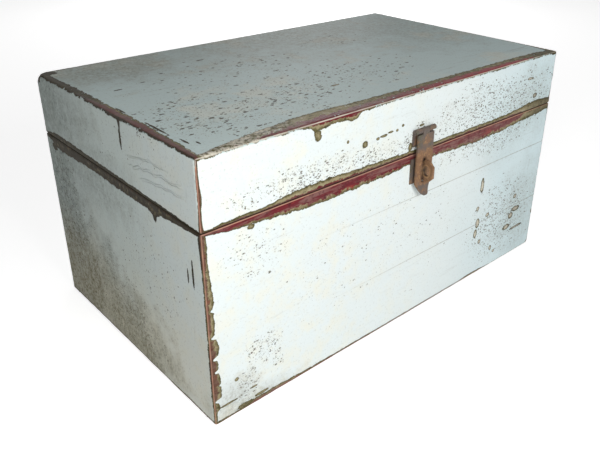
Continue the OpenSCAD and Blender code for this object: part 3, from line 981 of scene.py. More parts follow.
@dataclass(frozen=True)
class WornPaint:
    """Old pale paint over an olive coat over a dark red one, rubbed through along every arris."""

    size: TrunkSize
    effects: Effects
    specular: float = 0.12
    roughness: float = 0.56
    cool: tuple = srgb(232, 240, 239)
    warm: tuple = srgb(238, 238, 224)
    # a darker, bluer copy of the paint, painted towards the right as shade where the light falls off
    blue: tuple = srgb(212, 232, 236)
    # a darker, bluer copy of the paint, painted on the top face as shade
    painted_shade_top: tuple = srgb(208, 226, 224)
    shaded: tuple = srgb(208, 220, 215)
    yellowed: tuple = srgb(222, 218, 194)
    # grime, and the colour of the shade painted on the top
    grime_and_shade: tuple = srgb(116, 108, 82)
    earth: tuple = srgb(98, 92, 62)
    shadow: tuple = srgb(82, 92, 86)
    # dark dirt, and the colour of the shade painted on worn bands, along the paint's edges and in the seam
    dark_dirt_and_shade: tuple = srgb(44, 38, 24)
    olive: tuple = srgb(92, 86, 52)
    khaki: tuple = srgb(156, 145, 112)
    # cream of paint flecks and rubbed ground, and also the colour of the highlight painted on the arrises
    # near the top
    cream_and_highlight: tuple = srgb(226, 220, 204)
    red: tuple = srgb(104, 30, 38)
    orange: tuple = srgb(156, 58, 48)
    crimson: tuple = srgb(150, 22, 32)
    mauve: tuple = srgb(132, 98, 92)
    maroon: tuple = srgb(66, 24, 30)
    # colour of the highlight painted along the arrises, partly bare wood rubbed through
    painted_highlight: tuple = srgb(216, 166, 142)
    wood: tuple = srgb(138, 104, 72)
    old_wood: tuple = srgb(92, 68, 48)

    def _wear(self, here: Here, arrises: Iterable[Arris]) -> dict[str, Signal]:
        """Joins the wear of several arrises.

        Args:
            here: The point on the surface.
            arrises: The arrises that the wall comes near.

        Returns:
            The deepest wear, the strongest red and the strongest painted highlight.
        """
        graph, parts = here.graph, (here.x, here.y, here.z)
        made = []
        for arris in arrises:
            tables = (arris.first_width, arris.second_width, arris.cover)
            flat_width, drop_width, cover = (graph.profile(parts[arris.along], table) for table in tables)
            outputs = graph.use(
                self.effects.arris,
                Flat=self.size.inside(arris.first, parts), Flat_Width=flat_width,
                Drop=self.size.inside(arris.second, parts), Drop_Width=drop_width,
                Ragged=here.ragged, Cover=cover, Shine=arris.painted_highlight,
            )
            outputs["Red"] = outputs["Red"].rise(0.0, 0.12) * arris.red
            made.append(outputs)
        return {name: largest([outputs[name] for outputs in made]) for name in ("Depth", "Red", "Line")}

    def _patches(self, here: Here, near: list[Spot], ragged: Signal, gain: float) -> Signal:
        """Joins several spots.

        Args:
            here: The point on the surface.
            near: The spots that reach the wall.
            ragged: Noise that makes their borders uneven.
            gain: How steeply they rise towards their centres.

        Returns:
            The largest of them at each point, each at most its amount.
        """
        if not near:
            return here.x * 0.0 - 1.0
        masks = []
        for spot in near:
            mask = here.graph.use(
                self.effects.spot, Place=here.place, Centre=spot.centre, Reach=spot.reach, Ragged=ragged
            )["Mask"]
            masks.append((mask * gain).at_most(1.0) * spot.amount)
        return largest(masks)

    @staticmethod
    def _raised(here: Here) -> Signal:
        """The curved grain that stands up through the paint on the lid's left end.

        Args:
            here: The point on the surface.

        Returns:
            Its height, in millimetres.
        """
        bent = here.z + here.medium * 16.0 + (here.y + 85.0) * 0.12
        ridges = here.graph.math("SINE", bent * 0.62)
        across, up = (here.y + 84.0) / 46.0, (here.z - 224.0) / 13.0
        return ridges.rise(0.55, 1.0) * (across * across + up * up).rise(1.3, 0.5) * 1.3

    def _speckled(self, here: Here, paint: Signal, patches: list[Spot]) -> tuple[Signal, Signal]:
        """Adds the dark dashes and the fine dust where the paint has flaked.

        Args:
            here: The point on the surface.
            paint: The paint's colour.
            patches: The patches of specks that reach the wall.

        Returns:
            The colour with the specks, and the mask of the dashes.
        """
        graph = here.graph
        clusters = graph.noise(graph.shift(here.place, 77, 20, 4), 10.0, 3.0, 0.6)
        amount = self._patches(here, patches, here.broad + here.medium * 1.2, 1.6)
        amount = amount * (clusters.rise(-0.14, 0.12) * 0.65 + 0.5 + here.on_top * 0.12)
        drawn_out, elsewhere = graph.stretch(here.place, 0.55, 1.0, 1.0), graph.shift(here.place, 5, 9, 3)
        dashes, dust = (
            graph.use(self.effects.specks, Place=place, Cell=cell, Amount=amount)["Mask"]
            for place, cell in ((drawn_out, here.on_top * 1.4 + 1.8), (elsewhere, here.on_top * 0.7 + 1.2))
        )
        dark = graph.blend(
            here.patchy.rise(-0.12, 0.16) * (0.6 - here.on_top * 0.35), self.dark_dirt_and_shade, self.grime_and_shade
        )
        paint = graph.layers(
            paint,
            (dust * (0.62 + here.patchy), self.grime_and_shade),
            (dashes * (0.8 + here.patchy + here.on_top * 0.12), dark),
        )
        return paint, dashes

    def _pale(self, here: Here, stains_and_shade: list[Spot], tone: Signal) -> Signal:
        """The pale paint with its tints, its stains and the shade painted on it.

        Args:
            here: The point on the surface.
            stains_and_shade: The stains, and the patches of painted shade, that reach the wall.
            tone: The tone of the wood grain.

        Returns:
            The colour.
        """
        graph, x, y, z, broad, medium = here.graph, here.x, here.y, here.z, here.broad, here.medium
        on_top, on_end = here.on_top, here.on_end
        wipe = graph.noise(graph.stretch(here.place, 1.0, 1.0, 0.14), 5.0, 4.0, 0.65)
        # painted shade on the end faces: a darker copy of the paint, greyer above and yellower below
        ends = graph.blend((z + broad * 120.0).rise(150.0, 20.0), self.shaded, self.yellowed)
        # earth low on the ends, painted shade above it
        soil_and_shade = graph.blend((z + broad * 60.0).rise(70.0, 130.0), self.earth, self.shadow)
        stain = self._patches(here, stains_and_shade, medium * 1.2 + broad * 0.8, 1.5).at_least(0.0)
        # stains and dirt, with the shade that the patches paint on the top and the ends
        dirt_and_shade = stain * (0.6 + wipe * 0.6 + here.patchy * 1.6 + here.fine * 0.8)
        dirt_and_shade = dirt_and_shade + (wipe.rise(0.08, 0.3) * on_end) * 0.22
        dirt_and_shade = dirt_and_shade + tone.rise(0.1, 0.4) * (on_top * 0.22 + 0.18) + here.fine.rise(0.06, 0.24) * 0.2
        return graph.layers(
            self.cool,
            (medium.rise(-0.1, 0.2) * x.rise(120.0, -150.0) * 0.7, self.warm),
            # painted shade: darker and bluer towards the right end, where the light falls off
            ((x + broad * 140.0).rise(30.0, 240.0) * 0.8, self.blue),
            # painted shade: the top face is darker, as the light falls on it at a slant
            (on_top * 0.85, self.painted_shade_top),
            (on_top * (broad + medium * 0.5).rise(0.0, 0.2) * 0.5, self.warm),
            # painted shade on the end faces, painted less dark towards the front corner
            (on_end * (y.rise(-10.0, -120.0) * -0.4 + 0.85), ends),
            (on_top.at_least(on_end) * y.rise(-20.0, 149.0) * 0.17, self.shadow),
            # stains, dirt and painted shade
            (dirt_and_shade, graph.blend(on_end, self.grime_and_shade, soil_and_shade)),
        )

    def _red_coat(self, here: Here) -> Signal:
        """The dark red coat: crimson along the top's front arris, mauve where it is rubbed.

        Args:
            here: The point on the surface.

        Returns:
            The colour.
        """
        x, z, streak = here.x, here.z, here.streak
        rubbed = streak.rise(0.06, -0.12) * 0.8 + x.rise(20.0, 140.0) * z.rise(240.0, 220.0) * 0.3
        return here.graph.layers(
            self.red,
            (streak.rise(0.08, 0.24), self.orange),
            (rubbed, self.mauve),
            (here.from_top.rise(6.0, 3.0) * x.rise(-60.0, 60.0) * 0.65, self.crimson),
            (here.patchy.rise(-0.02, 0.2) * 0.75, self.maroon),
            (here.on_end.at_least(x.rise(-232.0, -245.0)) * 0.55, self.maroon),
        )

    def _under(self, here: Here, wear: dict[str, Signal], depth: Signal, chips: Signal) -> Signal:
        """The coats that show where the pale paint has gone, with shade painted on their worn bands and a
        highlight painted along the arrises.

        Args:
            here: The point on the surface.
            wear: The wear along the arrises.
            depth: How far a point is inside worn ground, in millimetres.
            chips: The same for the chips alone.

        Returns:
            The colour.
        """
        graph, x, y, z, patchy = here.graph, here.x, here.y, here.z, here.patchy
        on_top, on_end, seam_z = here.on_top, here.on_end, self.size.seam_z
        flecks = graph.noise(graph.stretch(here.place, 0.4, 0.8, 0.8), 3.2, 3.0, 0.65)
        rubbed = on_top * x.rise(-120.0, -190.0) * here.from_side.rise(4.0, 8.0)
        rubbed = rubbed * here.from_front.rise(26.0, 20.0)
        flaked = chips.rise(0.7, 1.6) * x.above(100.0) * (1.0 - here.from_front.above(1.0))
        # painted shade: worn bands darker on the ends, towards the back, towards the right end and on the
        # lid's downward face above the seam
        shade = largest([
            on_end * here.from_front.rise(1.0, 3.2) * z.rise(4.0, 8.0) * 0.9,
            y.rise(-10.0, 60.0) * (y.rise(140.0, 147.0) * -0.35 + 0.95),
            x.rise(175.0, 230.0) * 0.55,
            z.rise(seam_z + 4.0, seam_z) * z.above(seam_z) * 0.4,
        ])
        # a dark line along the edge of the paint: dirt, and the painted shadow of the paint's edge
        dirt_and_shade_border = depth.rise(1.3, 0.2) * (0.7 + patchy * 1.5) * (0.8 - here.on_front * 0.35)
        # painted highlight colour: copper below the top, cream near it
        glint = graph.blend(here.from_top.rise(8.0, 4.0), self.painted_highlight, self.cream_and_highlight)
        return graph.layers(
            self.olive,
            ((depth + patchy * 9.0).rise(0.0, 4.0), self.khaki),
            (flecks.rise(0.06, 0.14) * depth.rise(2.0, 6.0) * (on_top * 0.55 + 0.3), self.cream_and_highlight),
            (rubbed * patchy.rise(-0.1, 0.06) * 0.9, self.cream_and_highlight),
            (chips.rise(-0.3, 0.2) * on_top * x.rise(-190.0, -200.0), self.dark_dirt_and_shade),
            (flecks.rise(-0.06, -0.16) * 0.7, self.dark_dirt_and_shade),
            (wear["Red"], self._red_coat(here)),
            (flaked * 0.75, self.cream_and_highlight),
            (shade * (1.1 + patchy * 2.4), self.dark_dirt_and_shade),
            (dirt_and_shade_border, self.dark_dirt_and_shade),
            # painted highlight along the arrises, broken by streaks and kept out of the painted shade
            (wear["Line"] * (0.9 + here.streak * 2.0) * (1.0 - shade), glint),
        )

    def material(
        self, name: str, low: Vector, high: Vector, arrises: Iterable[Arris], raised_grain: bool
    ) -> bpy.types.Material:
        """Builds the finish for one wall.

        Args:
            name: The name of the wall.
            low: The wall's lowest corner, in millimetres.
            high: Its highest corner, in millimetres.
            arrises: The arrises of its half of the trunk.
            raised_grain: Whether curved grain stands up through the paint.

        Returns:
            The material, which knows its chips, specks and arrises by their place.
        """
        graph = MaterialGraph("paint_" + name)
        here = Here.read(graph, self.size)
        marks, patches, stains_and_shade = (
            [spot for spot in table if spot.near(low, high)] for table in (CHIPS, SPECK_PATCHES, STAINS_AND_SHADE)
        )
        x, z, fine, patchy, inside = here.x, here.z, here.fine, here.patchy, here.inside
        wear = self._wear(here, [arris for arris in arrises if arris.near(low, high, self.size)])
        chips = self._patches(here, marks, here.ragged * 0.45, 1.0) * 4.5 - 1.2
        islands = patchy.rise(0.1, 0.2) * here.on_top * (1.0 - abs(x + 60.0).rise(70.0, 130.0)) * 7.0
        depth = (wear["Depth"] - islands).at_least(chips)
        gone = depth.rise(-0.12, 0.15)
        grain = graph.use(self.effects.grain, Place=graph.stretch(here.place, *ALONG_GRAIN))
        tone, pores = grain["Tone"], grain["Pores"]

        paint, dashes = self._speckled(here, self._pale(here, stains_and_shade, tone), patches)
        for joint in self.size.joints:
            crack = abs(z - joint + here.ragged * 0.12).rise(0.7, 0.2) * here.on_front * x.rise(-150.0, 60.0)
            paint = graph.blend(crack * (0.45 + patchy), paint, self.grime_and_shade)
        bare = graph.layers(self.wood, (tone.rise(-0.2, 0.4), self.old_wood), (pores * 0.5, self.dark_dirt_and_shade))
        surface = graph.layers(
            paint,
            (gone, self._under(here, wear, depth, chips)),
            (inside, bare),
            # painted shadow: a dark line along the seam, for the shade in the gap between the lid and the
            # case
            (abs(z - self.size.seam_z).rise(1.0, 0.35) * 0.85, self.dark_dirt_and_shade),
        )

        height = (1.0 - gone) * 0.3 + tone * 0.16 + fine * 0.1 - dashes * 0.12 + patchy * gone * 0.3
        if raised_grain:
            height = height + self._raised(here)
        height = height + inside * (tone * 0.3 - pores * 0.2)
        return graph.shade(
            Specular_IOR_Level=self.specular, Base_Color=surface, Normal=graph.bump(height),
            Roughness=self.roughness - wear["Red"] * gone * 0.14 + fine * 0.2 + inside * 0.22,
        )


@dataclass(frozen=True)
class AgedWood:
    """Bare wood that has darkened with age, with its grain along the trunk."""

    name: str
    effects: Effects
    light: tuple
    dark: tuple
    pore: tuple = srgb(40, 28, 18)
    roughness: float = 0.72

    def material(self) -> bpy.types.Material:
        """Builds the finish.

        Returns:
            The material.
        """
        graph = MaterialGraph(self.name)
        place = graph.millimetres()
        grain = graph.use(self.effects.grain, Place=graph.stretch(place, *ALONG_GRAIN))
        stain = graph.noise(place, 70.0, 3.0, 0.6)
        tone, pores = grain["Tone"], grain["Pores"]
        wood = graph.layers(
            self.light, ((tone + stain).rise(-0.3, 0.4), self.dark), (pores * 0.6, self.pore)
        )
        return graph.shade(
            Base_Color=wood, Roughness=self.roughness + tone * 0.2,
            Normal=graph.bump(tone * 0.25 - pores * 0.2),
        )


@dataclass(frozen=True)
class Eye:
    """The staple's eye and the shade on the strap behind it, in millimetres."""

    centre: tuple[float, float, float]
    behind: tuple[float, float, float]
    reach: tuple[float, float, float]
    half_y: float = 4.0
    half_z: float = 5.25

    @classmethod
    def from_frame(cls) -> "Eye":
        """Finds the eye from the staple and its plate.

        Returns:
            The eye.
        """
        low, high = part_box("staple")
        middle, plate = (low + high) / 2 / MM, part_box("staple_plate")[0].y / MM
        centre, behind = ((middle.x, plate - out, middle.z) for out in (EYE_OUT, STRAP_OUT))
        return cls(centre, behind, ((high.x - low.x) / MM * 1.6, 3.4, 16.0))


@dataclass(frozen=True)
class OldIron:
    """Old iron with brown rust, purple-grey patina and dark, greenish edges.

    Amount says how much of it is rusty from place to place up the trunk.
    """

    name: str
    effects: Effects
    amount: Points
    patina: tuple = srgb(98, 88, 82)
    green: tuple = srgb(84, 84, 66)
    rust: tuple = srgb(134, 98, 68)
    dust: tuple = srgb(182, 144, 100)
    # dark pits, and the colour of the shade painted in and behind the staple's eye
    pits: tuple = srgb(44, 34, 26)
    roughness: float = 0.55
    eye: Eye | None = None

    def _eyed(self, graph: Graph, place: Signal, colour: Signal) -> Signal:
        """Adds painted shade and dirt in the staple's eye, painted shade on the strap behind it, and the
        pale ring rubbed round it.

        Args:
            graph: The material's graph.
            place: The point on the surface, in millimetres.
            colour: The iron's colour.

        Returns:
            The colour with the eye.
        """
        away = graph.vector_math("SUBTRACT", place, self.eye.centre)
        ring = graph.stretch(away, 0.0, 1 / self.eye.half_y, 1 / self.eye.half_z)
        ring = graph.vector_math("LENGTH", ring)
        across = abs(graph.split(away)[0]).rise(4.5, 3.0)
        spot = graph.use(
            self.effects.spot, Place=place, Centre=self.eye.behind, Reach=self.eye.reach, Ragged=0.25
        )["Mask"]
        return graph.layers(
            colour,
            (ring.rise(1.5, 1.25) * ring.rise(1.0, 1.15) * across * 0.6, self.dust),
            # painted shade and dirt on the walls of the eye
            (ring.rise(1.12, 0.98) * across * 0.85, self.pits),
            # painted shade on the strap behind the staple
            (spot.rise(0.0, 0.5) * 0.4, self.pits),
        )

    def material(self) -> bpy.types.Material:
        """Builds the finish.

        Returns:
            The material.
        """
        graph = MaterialGraph(self.name)
        place = graph.millimetres()
        amount = graph.profile(graph.split(place)[2], self.amount) - 0.5
        rust = graph.use(self.effects.rust, Place=place, Amount=amount)
        bloom, dust, pits = rust["Bloom"], rust["Dust"], rust["Pits"]
        stain = graph.noise(graph.shift(place, 9, 4, 2), 7.0, 4.0, 0.6)
        colour = graph.layers(
            self.patina,
            (stain.rise(0.02, 0.2), self.green),
            (bloom * 0.9, self.rust),
            (dust * (bloom * 0.6 + 0.12), self.dust),
            (pits * 0.75, self.pits),
        )
        return graph.shade(
            Base_Color=colour if self.eye is None else self._eyed(graph, place, colour),
            Metallic=(1.0 - bloom) * 0.35, Roughness=self.roughness + bloom * 0.2 + dust * 0.1,
            Normal=graph.bump(dust * 0.15 - pits * 0.25),
        )


class Bench:
    """The modelling steps that the pieces share. Each acts on the active object alone."""

    @staticmethod
    def clear() -> None:
        """Deselects every object."""
        bpy.ops.object.select_all(action="DESELECT")

    @classmethod
    def block(cls, name: str, low: Vector, high: Vector) -> bpy.types.Object:
        """Adds a box between two corners.

        Args:
            name: The name of the new piece.
            low: Its lowest corner, in metres.
            high: Its highest corner, in metres.

        Returns:
            The new object, at the origin, with its place in its mesh.
        """
        cls.clear()
        bpy.ops.mesh.primitive_cube_add(size=1, location=(low + high) / 2, scale=high - low)
        bpy.ops.object.transform_apply(location=True, rotation=True, scale=True)
        piece = bpy.context.active_object
        piece.name = name
        piece.data.name = name
        return piece

    @staticmethod
    def select_edges(piece: bpy.types.Object, wanted: Callable[[Vector, Vector], bool]) -> None:
        """Selects some edges. The piece is in edit mode.

        Args:
            piece: The piece.
            wanted: The test that the two ends of an edge must pass.
        """
        bpy.ops.mesh.select_mode(type="EDGE")
        bpy.ops.mesh.select_all(action="DESELECT")
        mesh = bmesh.from_edit_mesh(piece.data)
        for edge in mesh.edges:
            edge.select_set(wanted(edge.verts[0].co, edge.verts[1].co))
        bmesh.update_edit_mesh(piece.data)

    @classmethod
    def divide(cls, piece: bpy.types.Object, axis: Axis, cuts: int) -> None:
        """Cuts every edge along an axis into equal lengths. The piece is in edit mode.

        Args:
            piece: The piece.
            axis: The axis.
            cuts: The number of cuts.
        """
        cls.select_edges(piece, lambda a, b: abs((b - a).normalized()[axis.value]) > ALIGNED)
        bpy.ops.mesh.subdivide(number_cuts=cuts)

    @staticmethod
    def apply(piece: bpy.types.Object, kind: str, **settings: object) -> None:
        """Adds a modifier and applies it.

        Args:
            piece: The piece.
            kind: The modifier's type.
            **settings: Its properties.
        """
        modifier = piece.modifiers.new(kind.lower(), kind)
        for name, value in settings.items():
            setattr(modifier, name, value)
        bpy.context.view_layer.objects.active = piece
        bpy.ops.object.modifier_apply(modifier=modifier.name)

    @classmethod
    def displace(
        cls, piece: bpy.types.Object, name: str, size: float, level: float, strength: float, group: str = ""
    ) -> None:
        """Moves the surface in and out by a cloud texture.

        Args:
            piece: The piece.
            name: The texture, which is made once.
            size: The size of its features, in millimetres.
            level: The value of it that moves nothing.
            strength: How far its whole range moves the surface, in millimetres.
            group: The vertex group that moves, if not all do.
        """
        texture = bpy.data.textures.get(name)
        if texture is None:
            texture = bpy.data.textures.new(name, "CLOUDS")
            texture.noise_scale = size * MM
            texture.noise_depth = 2
        cls.apply(
            piece, "DISPLACE", texture=texture, texture_coords="LOCAL", mid_level=level,
            strength=strength * MM, vertex_group=group,
        )


@dataclass(frozen=True)
class Knock:
    """A corner of the trunk that was knocked round, by its three faces and how far it goes in."""

    faces: tuple[Face, Face, Face]
    reach: float
    bulge: float = 1.35

    def press(self, piece: bpy.types.Object, size: TrunkSize) -> None:
        """Brings what stands outside the round back onto it, near this corner only.

        Args:
            piece: The piece to press.
            size: The planes of the trunk.
        """
        deep = self.reach * self.bulge
        centre = Vector((0, 0, 0))
        for face in self.faces:
            axis, way = face.value
            centre[axis] = (size.plane(face) - way * deep) * MM
        radius = Vector((deep - self.reach, deep, deep)).length * MM
        for vertex in piece.data.vertices:
            away = vertex.co - centre
            outside = all(away[face.value[0]] * face.value[1] > 0 for face in self.faces)
            if outside and away.length > radius:
                vertex.co = centre + away.normalized() * radius


KNOCKS = (
    Knock((Face.LEFT, Face.BACK, Face.TOP), 13.0),
    Knock((Face.RIGHT, Face.FRONT, Face.FOOT), 7.0),
)


@dataclass
class Piece:
    """A piece that is modelled over the solid of one node and takes its place."""

    node: str
    body: Body
    slot: Slot

    def dress(self, piece: bpy.types.Object, material: bpy.types.Material) -> None:
        """Gives the piece its material and smooth faces, and joins it to its body.

        Args:
            piece: The modelled piece.
            material: Its finish.
        """
        piece.data.materials.clear()
        piece.data.materials.append(material)
        Bench.clear()
        piece.select_set(True)
        bpy.context.view_layer.objects.active = piece
        bpy.ops.object.shade_smooth_by_angle(angle=SMOOTH_BELOW)
        Bench.apply(piece, "WEIGHTED_NORMAL", mode="FACE_AREA", weight=50, keep_sharp=True)
        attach(piece, self.body.value)
        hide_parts(self.node)
        log.info("%s: %d faces", piece.name, len(piece.data.polygons))


@dataclass
class Board(Piece):
    """One board or plank."""

    size: TrunkSize
    grid: float = 4.0
    arris_r: float = 2.5
    rim_r: float = 1.8
    joint_r: float = 0.15
    dents: float = 0.9
    dent_size: float = 9.0
    dent_reach: float = 3.2
    sag: float = 0.35
    sag_size: float = 55.0

    def _round_of(self, a: Vector, b: Vector) -> float:
        """Reads how round an edge is worn from the outer planes that it lies on.

        Args:
            a: One end of the edge.
            b: The other end.

        Returns:
            The radius, in millimetres.
        """
        shared = [
            rim for axis, place, rim in self.size.planes()
            if all(abs(end[axis.value] - place) < TOUCHING for end in (a, b))
        ]
        if len(shared) < 2:
            return self.joint_r
        return self.rim_r if any(shared) else self.arris_r

    def build(self) -> bpy.types.Object:
        """Models the board: a block, cut into a grid, with its edges rounded and its arrises dented.

        Returns:
            The finished piece without its material.
        """
        low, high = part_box(self.node)
        piece = Bench.block("worn_" + self.node, low, high)
        bpy.ops.object.mode_set(mode="EDIT")
        for axis in Axis:
            length = (high - low)[axis.value] / MM
            Bench.divide(piece, axis, max(2, round(length / self.grid)) - 1)
        bpy.ops.object.mode_set(mode="OBJECT")
        self._round_edges(piece, low, high)
        for knock in KNOCKS:
            knock.press(piece, self.size)
        self._dent(piece)
        return piece

    def _round_edges(self, piece: bpy.types.Object, low: Vector, high: Vector) -> None:
        """Rounds the block's twelve edges, each by its own radius.

        Args:
            piece: The block.
            low: Its lowest corner, in metres.
            high: Its highest corner.
        """
        weights = piece.data.attributes.new("bevel_weight_edge", "FLOAT", "EDGE")
        sides = [(i, side[i]) for i in range(3) for side in (low, high)]
        for edge in piece.data.edges:
            ends = [piece.data.vertices[i].co for i in edge.vertices]
            on_faces = sum(all(abs(end[i] - side) < ON_SIDE for end in ends) for i, side in sides)
            if on_faces >= 2:
                weights.data[edge.index].value = self._round_of(*ends) / self.arris_r
        Bench.apply(
            piece, "BEVEL", width=self.arris_r * MM, segments=3, limit_method="WEIGHT",
            use_clamp_overlap=False,
        )

    def _dent(self, piece: bpy.types.Object) -> None:
        """Makes the faces uneven and knocks small dents into the outer arrises.

        Args:
            piece: The board with its rounded edges.
        """
        outer, arris = (piece.vertex_groups.new(name=name) for name in ("outer", "arris"))
        reach = self.dent_reach * MM
        for vertex in piece.data.vertices:
            gaps = [(abs(vertex.co[axis.value] - place), rim) for axis, place, rim in self.size.planes()]
            first, second = sorted(gap for gap, rim in gaps if not rim)[:2]
            seam_gap = min(gap for gap, rim in gaps if rim)
            if first < SKIN * MM and seam_gap > SEAM_FREE * MM:
                outer.add([vertex.index], 1.0, "REPLACE")
            if second < reach and seam_gap > RIM_FREE * MM:
                arris.add([vertex.index], 1.0 - second / reach, "REPLACE")
        Bench.displace(piece, "uneven", self.sag_size, 0.5, self.sag, "outer")
        Bench.displace(piece, "dents", self.dent_size, 0.72, self.dents, "arris")
        piece.vertex_groups.clear()


@dataclass
class WoodenBox:
    """The case and the lid as boards and planks."""

    size: TrunkSize
    walls: tuple[str, ...] = ("front", "back", "left", "right")
    rows: tuple[str, ...] = ("upper", "middle", "lower")
    planks: tuple[str, ...] = ("front", "middle", "back")
    raised_grain_on: str = "lid_left"

    def groups(self) -> dict[str, tuple[Body, Slot, list[str], tuple[Arris, ...]]]:
        """Lists the walls, the top and the floor.

        Returns:
            The body of each, its slot, its nodes and the arrises of its half.
        """
        top, floor = ([f"{half}_{plank}_plank" for plank in self.planks] for half in ("lid", "floor"))
        made = {}
        for wall in self.walls:
            nodes = [f"case_{wall}_{row}_board" for row in self.rows]
            made[f"case_{wall}"] = (Body.CASE, Slot.PAINTED, nodes, CASE_ARRISES)
            made[f"lid_{wall}"] = (Body.LID, Slot.PAINTED, [f"lid_{wall}_rail"], LID_ARRISES)
        made["lid_top"] = (Body.LID, Slot.PAINTED, top, LID_ARRISES)
        made["floor"] = (Body.CASE, Slot.BARE, floor, ())
        return made

    def build(self, paint: WornPaint, finishes: dict[Slot, bpy.types.Material]) -> None:
        """Models and dresses every board.

        Args:
            paint: The paint, which makes one material for each wall.
            finishes: The finishes of the slots that aren't painted.
        """
        for name, (body, slot, nodes, arrises) in self.groups().items():
            lows, highs = zip(*(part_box(node) for node in nodes))
            low = Vector([min(parts) / MM for parts in zip(*lows)])
            high = Vector([max(parts) / MM for parts in zip(*highs)])
            material = finishes.get(slot)
            if material is None:
                material = paint.material(name, low, high, arrises, name == self.raised_grain_on)
            for node in nodes:
                board = Board(node, body, slot, self.size)
                board.dress(board.build(), material)


@dataclass
class IronPiece(Piece):
    """One forged piece: the solid of its node with its edges worn round and its faces uneven."""

    edge_r: float = 0.35
    uneven: float = 0.25
    mark_size: float = 6.0

    def build(self) -> bpy.types.Object:
        """Copies the solid, joins its loose corners, rounds its edges and beats its faces.

        Returns:
            The finished piece without its material.
        """
        Bench.clear()
        piece = bpy.data.objects.new("iron_" + self.node, frame["nodes"][self.node].data.copy())
        piece.data.name = piece.name
        bpy.context.scene.collection.objects.link(piece)
        piece.select_set(True)
        bpy.context.view_layer.objects.active = piece
        bpy.ops.object.mode_set(mode="EDIT")
        bpy.ops.mesh.select_all(action="SELECT")
        bpy.ops.mesh.remove_doubles(threshold=0.01 * MM)
        bpy.ops.mesh.dissolve_limited(angle_limit=FLAT_BELOW)
        bpy.ops.mesh.customdata_custom_splitnormals_clear()
        bpy.ops.object.mode_set(mode="OBJECT")
        Bench.apply(
            piece, "BEVEL", width=self.edge_r * MM, segments=2, limit_method="ANGLE",
            angle_limit=SMOOTH_BELOW, use_clamp_overlap=True,
        )
        Bench.displace(piece, "beaten", self.mark_size, 0.5, self.uneven)
        return piece


@dataclass
class Ironwork:
    """The hinges, the hasp and their screws."""

    pieces: tuple[IronPiece, ...] = (
        IronPiece("hasp_strap", Body.STRAP, Slot.RUSTY),
        IronPiece("hasp_leaf", Body.LID, Slot.DARK),
        IronPiece("staple", Body.CASE, Slot.RUSTY, edge_r=0.6),
        IronPiece("staple_plate", Body.CASE, Slot.DARK),
        *(
            IronPiece(f"{side}_hinge_{body.value}_leaf", body, Slot.DARK)
            for body in (Body.CASE, Body.LID) for side in ("left", "right")
        ),
    )

    def build(self, finishes: dict[Slot, bpy.types.Material]) -> None:
        """Models the plates and dresses them, the pins, the screws and the pegs.

        Args:
            finishes: The finish of each slot that isn't painted.
        """
        for iron in self.pieces:
            iron.dress(iron.build(), finishes[iron.slot])
        remade = {iron.node for iron in self.pieces}
        for row in frame["record"]["subparts"]:
            slot = Slot(row["material_slot"])
            if slot in finishes and slot is not Slot.BARE and row["node"] not in remade:
                node = frame["nodes"][row["node"]]
                node.data.materials.clear()
                node.data.materials.append(finishes[slot])


@dataclass(frozen=True)
class Lamp:
    """A square soft lamp: its place and side in metres, and its power in watts."""

    name: str
    place: tuple[float, float, float]
    power: float
    side: float

    def hang(self, aim: Vector) -> None:
        """Hangs the lamp.

        Args:
            aim: The point that it looks at.
        """
        data = bpy.data.lights.new(self.name, "AREA")
        data.energy = self.power
        data.size = self.side
        lamp = bpy.data.objects.new(self.name, data)
        bpy.context.scene.collection.objects.link(lamp)
        lamp.location = self.place
        lamp.rotation_mode = "QUATERNION"
        lamp.rotation_quaternion = (aim - Vector(self.place)).to_track_quat("-Z", "Y")


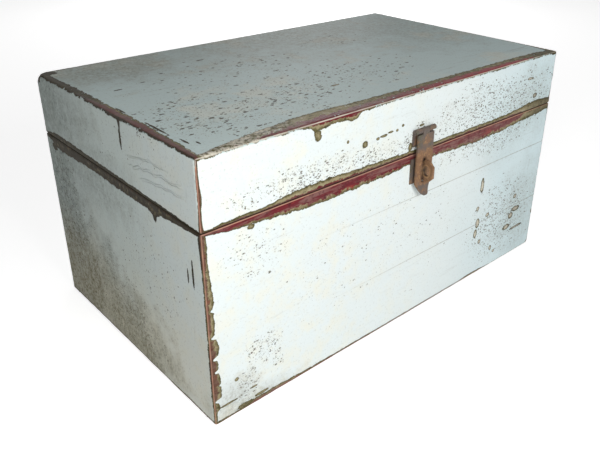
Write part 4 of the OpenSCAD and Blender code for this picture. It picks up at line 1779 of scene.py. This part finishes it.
@dataclass
class Studio:
    """A pale floor, soft lamps and the camera."""

    size: TrunkSize
    azimuth: float = 42.671
    elevation: float = 25.731
    roll: float = 0.653
    eye: tuple[float, float, float] = (-0.4877, -0.5487, 0.4538)
    focal_px: float = 677.4
    middle_px: tuple[float, float] = (325.9, 192.2)
    frame_px: tuple[int, int] = (600, 450)
    sensor: float = 36.0
    ambient: float = 0.13
    floor_side: float = 12.0
    floor_glow: float = 0.7
    lamps: tuple[Lamp, ...] = (
        Lamp("key", (-0.15, -1.2, 0.6), 7.5, 0.5),
        Lamp("near", (-0.6, -0.57, 0.5), 2.0, 0.22),
        Lamp("fill", (1.3, 1.6, 0.3), 10.0, 0.6),
    )

    def camera(self) -> None:
        """Stands the camera where the picture was taken from."""
        az, el, roll = (math.radians(a) for a in (self.azimuth, self.elevation, self.roll))
        ahead = Vector((math.sin(az) * math.cos(el), math.cos(az) * math.cos(el), -math.sin(el)))
        level = Vector((math.cos(az), -math.sin(az), 0))
        upright = level.cross(ahead)
        right = math.cos(roll) * level + math.sin(roll) * upright
        up = -math.sin(roll) * level + math.cos(roll) * upright
        data = bpy.data.cameras.new("camera")
        camera = bpy.data.objects.new("camera", data)
        bpy.context.scene.collection.objects.link(camera)
        turn = Matrix((right, up, -ahead)).transposed().to_4x4()
        camera.matrix_world = Matrix.Translation(self.eye) @ turn
        wide, high = self.frame_px
        data.sensor_width = self.sensor
        data.lens = self.focal_px / wide * data.sensor_width
        data.shift_x = (wide / 2 - self.middle_px[0]) / wide
        data.shift_y = (self.middle_px[1] - high / 2) / wide
        data.clip_start = 0.02
        bpy.context.scene.camera = camera

    def world(self) -> None:
        """A dim even light that the camera sees as a white backdrop."""
        world = bpy.data.worlds.new("studio")
        bpy.context.scene.world = world
        world.use_nodes = True
        graph = Graph(world.node_tree)
        seen = self._seen(graph)
        background = next(node for node in world.node_tree.nodes if node.type == "BACKGROUND")
        background.inputs["Color"].default_value = WHITE
        graph.feed(background.inputs["Strength"], seen * (1.0 - self.ambient) + self.ambient)

    @staticmethod
    def _seen(graph: Graph) -> Signal:
        """Tells what the camera sees straight, in a mirror or through glass.

        Args:
            graph: The graph of the world or the floor.

        Returns:
            1 for what it sees so, 0 for what only lights the scene.
        """
        path, rays = graph.add("ShaderNodeLightPath"), ("Camera", "Glossy", "Transmission")
        return largest(Signal(graph, path.outputs[f"Is {ray} Ray"]) for ray in rays)

    def floor(self) -> None:
        """A plain pale floor that keeps the trunk's shadow."""
        Bench.clear()
        bpy.ops.mesh.primitive_plane_add(size=self.floor_side, location=(0, 0, 0))
        floor = bpy.context.active_object
        floor.name = "floor"
        graph = MaterialGraph("pale_floor")
        floor.data.materials.append(graph.shade(
            Base_Color=srgb(236, 236, 236), Roughness=0.9, Emission_Color=WHITE,
            Emission_Strength=self._seen(graph) * self.floor_glow,
        ))

    def build(self) -> None:
        """Sets up the camera, the lamps, the backdrop and the floor."""
        self.camera()
        self.world()
        self.floor()
        for lamp in self.lamps:
            lamp.hang(Vector((0, 0, self.size.top_z / 2 * MM)))
        bpy.context.scene.view_settings.view_transform = "Standard"


def main() -> None:
    """Builds the trunk, piece by piece, in its studio."""
    logging.basicConfig(level=logging.INFO, format="%(message)s")
    size = TrunkSize.from_frame()
    effects = Effects()
    finishes = {
        Slot.BARE: AgedWood("aged_wood", effects, srgb(140, 108, 76), srgb(84, 62, 44)).material(),
        Slot.PEG: AgedWood("peg_wood", effects, srgb(160, 124, 84), srgb(104, 78, 54)).material(),
        Slot.RUSTY: OldIron("rusty_iron", effects, RUST_UP_THE_HASP, eye=Eye.from_frame()).material(),
        Slot.DARK: OldIron("dark_iron", effects, even(0.42)).material(),
    }
    Studio(size).build()
    WoodenBox(size).build(WornPaint(size, effects), finishes)
    Ironwork().build(finishes)


if __name__ == "__main__":
    main()
